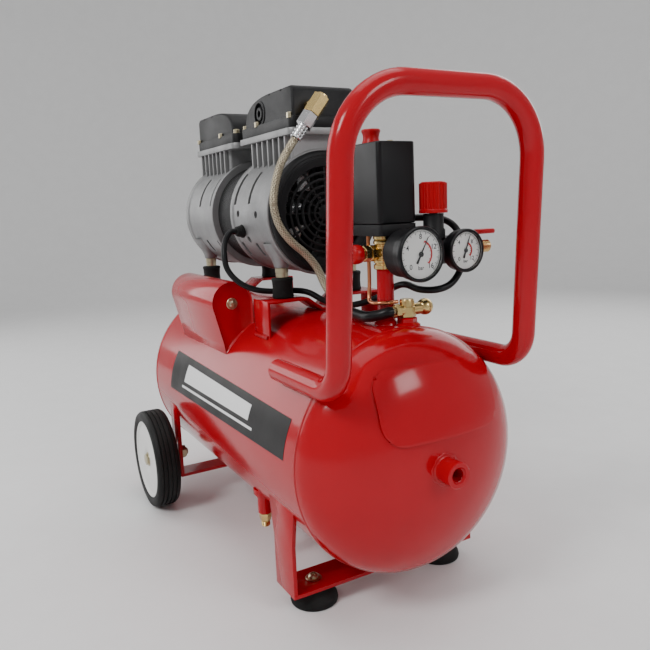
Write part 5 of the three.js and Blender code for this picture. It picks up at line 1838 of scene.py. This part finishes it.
# ---------------------------------------------------------------- gauges
class COMPRESSOR_OT_gauges(Build, bpy.types.Operator):
    """Models both pressure gauges: cases, printed dials, needles and lenses"""

    bl_idname = "compressor.gauges"
    bl_label = "Gauges"

    DIAL = 11
    PRINT_PROUD = 0.08
    SWEEP = 135

    def execute(self, context):
        for name, radius, side, reading, top in (
            ("tank", 25.5, 2.5, 29, 16),
            ("outlet", 20.5, 56, 20, 12),
        ):
            self.case(name, radius, side)
            self.print_scale(name, radius, side, top)
            self.needle(name, radius, side, reading)
        return {"FINISHED"}

    @staticmethod
    def case(name, radius, side):
        paint = finishes()
        centre = at(GAUGE_BACK, side, MANIFOLD_Z)
        r = radius
        rim = [[0, 0], [r - 2, 0], [r - 0.8, 1.2], [r - 0.6, 8], [r + 0.4, 8.8], [r + 0.5, 9.6]]
        rim += [[r + 0.5, 13.2], [r - 0.1, 14.2], [r - 1, 14.5], [r - 2.2, 14.3], [r - 2.6, 13.6]]
        rim += [[r - 2.8, 11], [0, 11]]
        case = turned(rim, centre, X, 96)
        placed(
            case,
            f"{name}_gauge_case",
            paint.gloss_black,
            replaces=[f"{name}_gauge"],
        )
        dial = turned([[0, 10.9], [r - 2.9, 10.9], [r - 2.9, 11.1], [0, 11.1]], centre, X, 96)
        placed(dial, f"{name}_gauge_dial", paint.dial)
        glass = turned(
            [[0, 13.3], [r - 2.7, 13.3], [r - 2.7, 13.9], [r - 8, 14.2], [0, 14.4]], centre, X, 96
        )
        placed(glass, f"{name}_gauge_lens", paint.lens, smooth=60)

    def spot(self, side, angle, radius):
        """A point on a dial, `angle` degrees clockwise from its top."""
        turn = math.radians(angle)
        depth = self.DIAL + self.PRINT_PROUD
        return at(
            GAUGE_BACK + depth, side + radius * math.sin(turn), MANIFOLD_Z + radius * math.cos(turn)
        )

    def mark(self, side, angle, inner, outer, width):
        across = math.degrees(width / 2 / outer)
        corners = [
            self.spot(side, angle - across, outer),
            self.spot(side, angle + across, outer),
            self.spot(side, angle + across * outer / inner, inner),
            self.spot(side, angle - across * outer / inner, inner),
        ]
        return plate(corners, X * 0.1 * MM)

    def arc(self, side, first, last, inner, outer):
        count = 28
        turns = [first + (last - first) * step / count for step in range(count + 1)]
        outline = [self.spot(side, turn, outer) for turn in turns]
        outline += [self.spot(side, turn, inner) for turn in reversed(turns)]
        return plate(outline, X * 0.1 * MM)

    def print_scale(self, name, radius, side, top):
        """The scale's rings, ticks and figures; `top` is the figure at its end."""
        paint = finishes()
        edge = radius - 4.2
        ticks = []
        for index in range(top * 4 + 1):
            angle = -self.SWEEP + 2 * self.SWEEP * index / (top * 4)
            major = index % 4 == 0
            ticks.append(
                self.mark(side, angle, edge - (2.6 if major else 1.4), edge, 0.5 if major else 0.25)
            )
        ticks.append(self.arc(side, -self.SWEEP, self.SWEEP, edge, edge + 0.3))
        for index in range(0, top + 1, 4):
            angle = -self.SWEEP + 2 * self.SWEEP * index / top
            ticks.append(self.figure(str(index), self.spot(side, angle, edge - 5.2), radius * 0.26))
        ticks.append(self.figure("bar", self.spot(side, 180, radius * 0.5), radius * 0.2))
        placed(joined(ticks), f"{name}_gauge_scale", paint.ink)
        inner = [self.arc(side, 20, self.SWEEP, edge - 9.8, edge - 8)]
        for index in range(7):
            inner.append(self.mark(side, 20 + 115 * index / 6, edge - 10.8, edge - 8.4, 0.6))
        placed(joined(inner), f"{name}_gauge_inner_scale", paint.red_ink)

    @staticmethod
    def figure(text, place, size):
        clear_selection()
        bpy.ops.object.text_add(location=place, rotation=(math.pi / 2, 0, math.pi / 2))
        figure = bpy.context.object
        figure.data.body = text
        figure.data.size = size * MM
        figure.data.align_x = "CENTER"
        figure.data.align_y = "CENTER"
        figure.data.extrude = 0.05 * MM
        figure.data.offset = 0.08 * MM
        bpy.ops.object.convert(target="MESH")
        bpy.ops.object.transform_apply(location=True, rotation=True, scale=True)
        return bpy.context.object

    def needle(self, name, radius, side, reading):
        depth = GAUGE_BACK + 11.5
        turn = math.radians(reading)
        ahead = Vector((0, math.sin(turn), math.cos(turn))) * MM
        across = Vector((0, math.cos(turn), -math.sin(turn))) * MM
        centre = at(depth, side, MANIFOLD_Z)
        shape = [(-1.1, -0.38), (1.1, -0.38), (0.7, 0), (0.25, 0.7), (-0.25, 0.7), (-0.7, 0)]
        pointer = plate([centre + across * w + ahead * radius * d for w, d in shape], X * 0.4 * MM)
        hub = turned(
            [[0, 0], [radius * 0.1, 0], [radius * 0.1, 0.8], [radius * 0.07, 1.1], [0, 1.2]],
            centre,
            X,
            32,
        )
        placed(joined([pointer, hub]), f"{name}_gauge_pointer", finishes().ink, f"{name}_needle",
               [f"{name}_gauge_needle"])


# ---------------------------------------------------------------- outlet and drain
class COMPRESSOR_OT_valves(Build, bpy.types.Operator):
    """Models the outlet valve, its lever, and the drain valve with its screw"""

    bl_idname = "compressor.valves"
    bl_label = "Outlet and drain valves"

    def execute(self, context):
        paint = finishes()
        start = 58.3
        x, z = 226, MANIFOLD_Z

        def along(distance):
            return at(x, start + distance, z)

        barb = [[3.5, 0], [6.5, 0]]
        for ridge in range(4):
            d = 1 + ridge * 3.4
            barb += [[5.4, d], [6.5, d + 2.8]]
        barb += [[5.4, 14.6], [3.5, 14.6], [3.5, 0]]
        ball = [[3.5, 0], [6.8, 0], [7.8, 3], [8.2, 9], [7.8, 17], [6.8, 20], [3.5, 20], [3.5, 0]]
        hexagon = [[3.5, 0], [7.2, 0], [7.8, 0.6], [7.8, 12.8], [7.2, 13.6], [3.5, 13.6], [3.5, 0]]
        made = [
            turned(hexagon, along(0), Y, 6),
            turned(ball, along(13.6), Y, 48),
            turned([[3.5, 0], [7.6, 0], [7.6, 6], [3.5, 6], [3.5, 0]], along(33.6), Y, 6),
            turned(barb, along(39.6), Y, 40),
            turned([[0, 5], [4.2, 5], [3.6, 7], [3.6, 12.5], [0, 12.5]], along(24), Z, 32),
        ]
        placed(joined(made), "outlet_valve_brass", paint.brass, replaces=["outlet_valve"])
        low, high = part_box("outlet_lever")
        grip = ease_upright_edges(block(low, high), 4.4, 8)
        grip = eased(grip, 0.9, 3, 60)
        seat = Vector((at(x, 0, 0).x, at(0, start + 24, 0).y, high.z))
        screw = turned([[0, -0.3], [3.6, -0.3], [3.6, 1.8], [3, 2.3], [0, 2.3]], seat, Z, 6)
        far = Vector((low.x - 0.6 * MM, high.y - 25 * MM, low.z - 0.1 * MM))
        sleeve = ease_upright_edges(block(far, high + Vector((0.6, 0.6, 1.8)) * MM), 5, 8)
        grip = joined([grip, eased(sleeve, 1.6, 3, 60)])
        placed(grip, "outlet_lever_sleeve", paint.red_plastic, "outlet_lever",
               ["outlet_lever"])
        placed(screw, "outlet_lever_nut", paint.zinc, "outlet_lever")

        low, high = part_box("drain_valve")
        top = Vector(((low.x + high.x) / 2, (low.y + high.y) / 2, high.z))
        body = turned(
            [[3.5, 0], [6.4, 0], [7, 0.5], [7, 6], [6.2, 7], [6.2, 9], [3.5, 9], [3.5, 0]], top, -Z, 6
        )
        placed(body, "drain_valve_brass", paint.brass, replaces=["drain_valve"])
        low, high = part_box("drain_screw")
        tip = Vector(((low.x + high.x) / 2, (low.y + high.y) / 2, high.z))
        screw = [[0, 0], [3, 0], [3, 4.2], [4.6, 4.4], [5, 4.8]]
        for ridge in range(4):
            screw += [[4.6, 5.4 + ridge * 1.2], [5, 6 + ridge * 1.2]]
        screw += [[4.4, 10.6], [0, 10.6]]
        placed(turned(screw, tip, -Z, 40), "drain_screw_brass", paint.brass, "drain_screw",
               ["drain_screw"])
        return {"FINISHED"}


class COMPRESSOR_OT_inner_parts(Build, bpy.types.Operator):
    """Gives the inner frame parts that stay their finishes"""

    bl_idname = "compressor.inner_parts"
    bl_label = "Inner parts"

    def execute(self, context):
        paint = finishes()
        looks = {
            "fan": paint.plastic,
            "capacitor": paint.plastic,
            "piston": paint.steel,
            "shaft": paint.steel,
        }
        for name, node_object in frame["nodes"].items():
            if node_object.type != "MESH":
                continue
            look = next((look for word, look in looks.items() if name.endswith(word)), paint.steel)
            for place in node_object.material_slots:
                place.material = look
        return {"FINISHED"}


class COMPRESSOR_PT_sidebar(bpy.types.Panel):
    """Sizes, colours and the building steps of the compressor"""

    bl_idname = "COMPRESSOR_PT_sidebar"
    bl_label = "Compressor"
    bl_space_type = "VIEW_3D"
    bl_region_type = "UI"
    bl_category = "Compressor"

    def draw(self, context):
        scene = context.scene
        for group in (scene.compressor_colours, scene.compressor_sizes):
            column = self.layout.column()
            for name in group.__annotations__:
                column.prop(group, name)
        for operator in OPERATORS:
            self.layout.operator(operator.bl_idname)


OPERATORS = (
    COMPRESSOR_OT_stage,
    COMPRESSOR_OT_cords,
    COMPRESSOR_OT_tank,
    COMPRESSOR_OT_handle,
    COMPRESSOR_OT_front_stand,
    COMPRESSOR_OT_wheels,
    COMPRESSOR_OT_platforms,
    COMPRESSOR_OT_capacitor_cover,
    COMPRESSOR_OT_motor,
    COMPRESSOR_OT_cylinder_heads,
    COMPRESSOR_OT_fan_covers,
    COMPRESSOR_OT_air_fittings,
    COMPRESSOR_OT_pressure_switch,
    COMPRESSOR_OT_regulator,
    COMPRESSOR_OT_gauges,
    COMPRESSOR_OT_valves,
    COMPRESSOR_OT_inner_parts,
)
CLASSES = (CompressorColours, CompressorSizes, *OPERATORS, COMPRESSOR_PT_sidebar)


def register():
    for kind in CLASSES:
        bpy.utils.register_class(kind)
    bpy.types.Scene.compressor_colours = PointerProperty(type=CompressorColours)
    bpy.types.Scene.compressor_sizes = PointerProperty(type=CompressorSizes)


def unregister():
    del bpy.types.Scene.compressor_sizes
    del bpy.types.Scene.compressor_colours
    for kind in reversed(CLASSES):
        bpy.utils.unregister_class(kind)


def main():
    register()
    for operator in OPERATORS:
        area, name = operator.bl_idname.split(".")
        result = getattr(getattr(bpy.ops, area), name)()
        if result != {"FINISHED"}:
            raise RuntimeError(f"{operator.bl_label} did not finish")


if __name__ == "__main__":
    main()
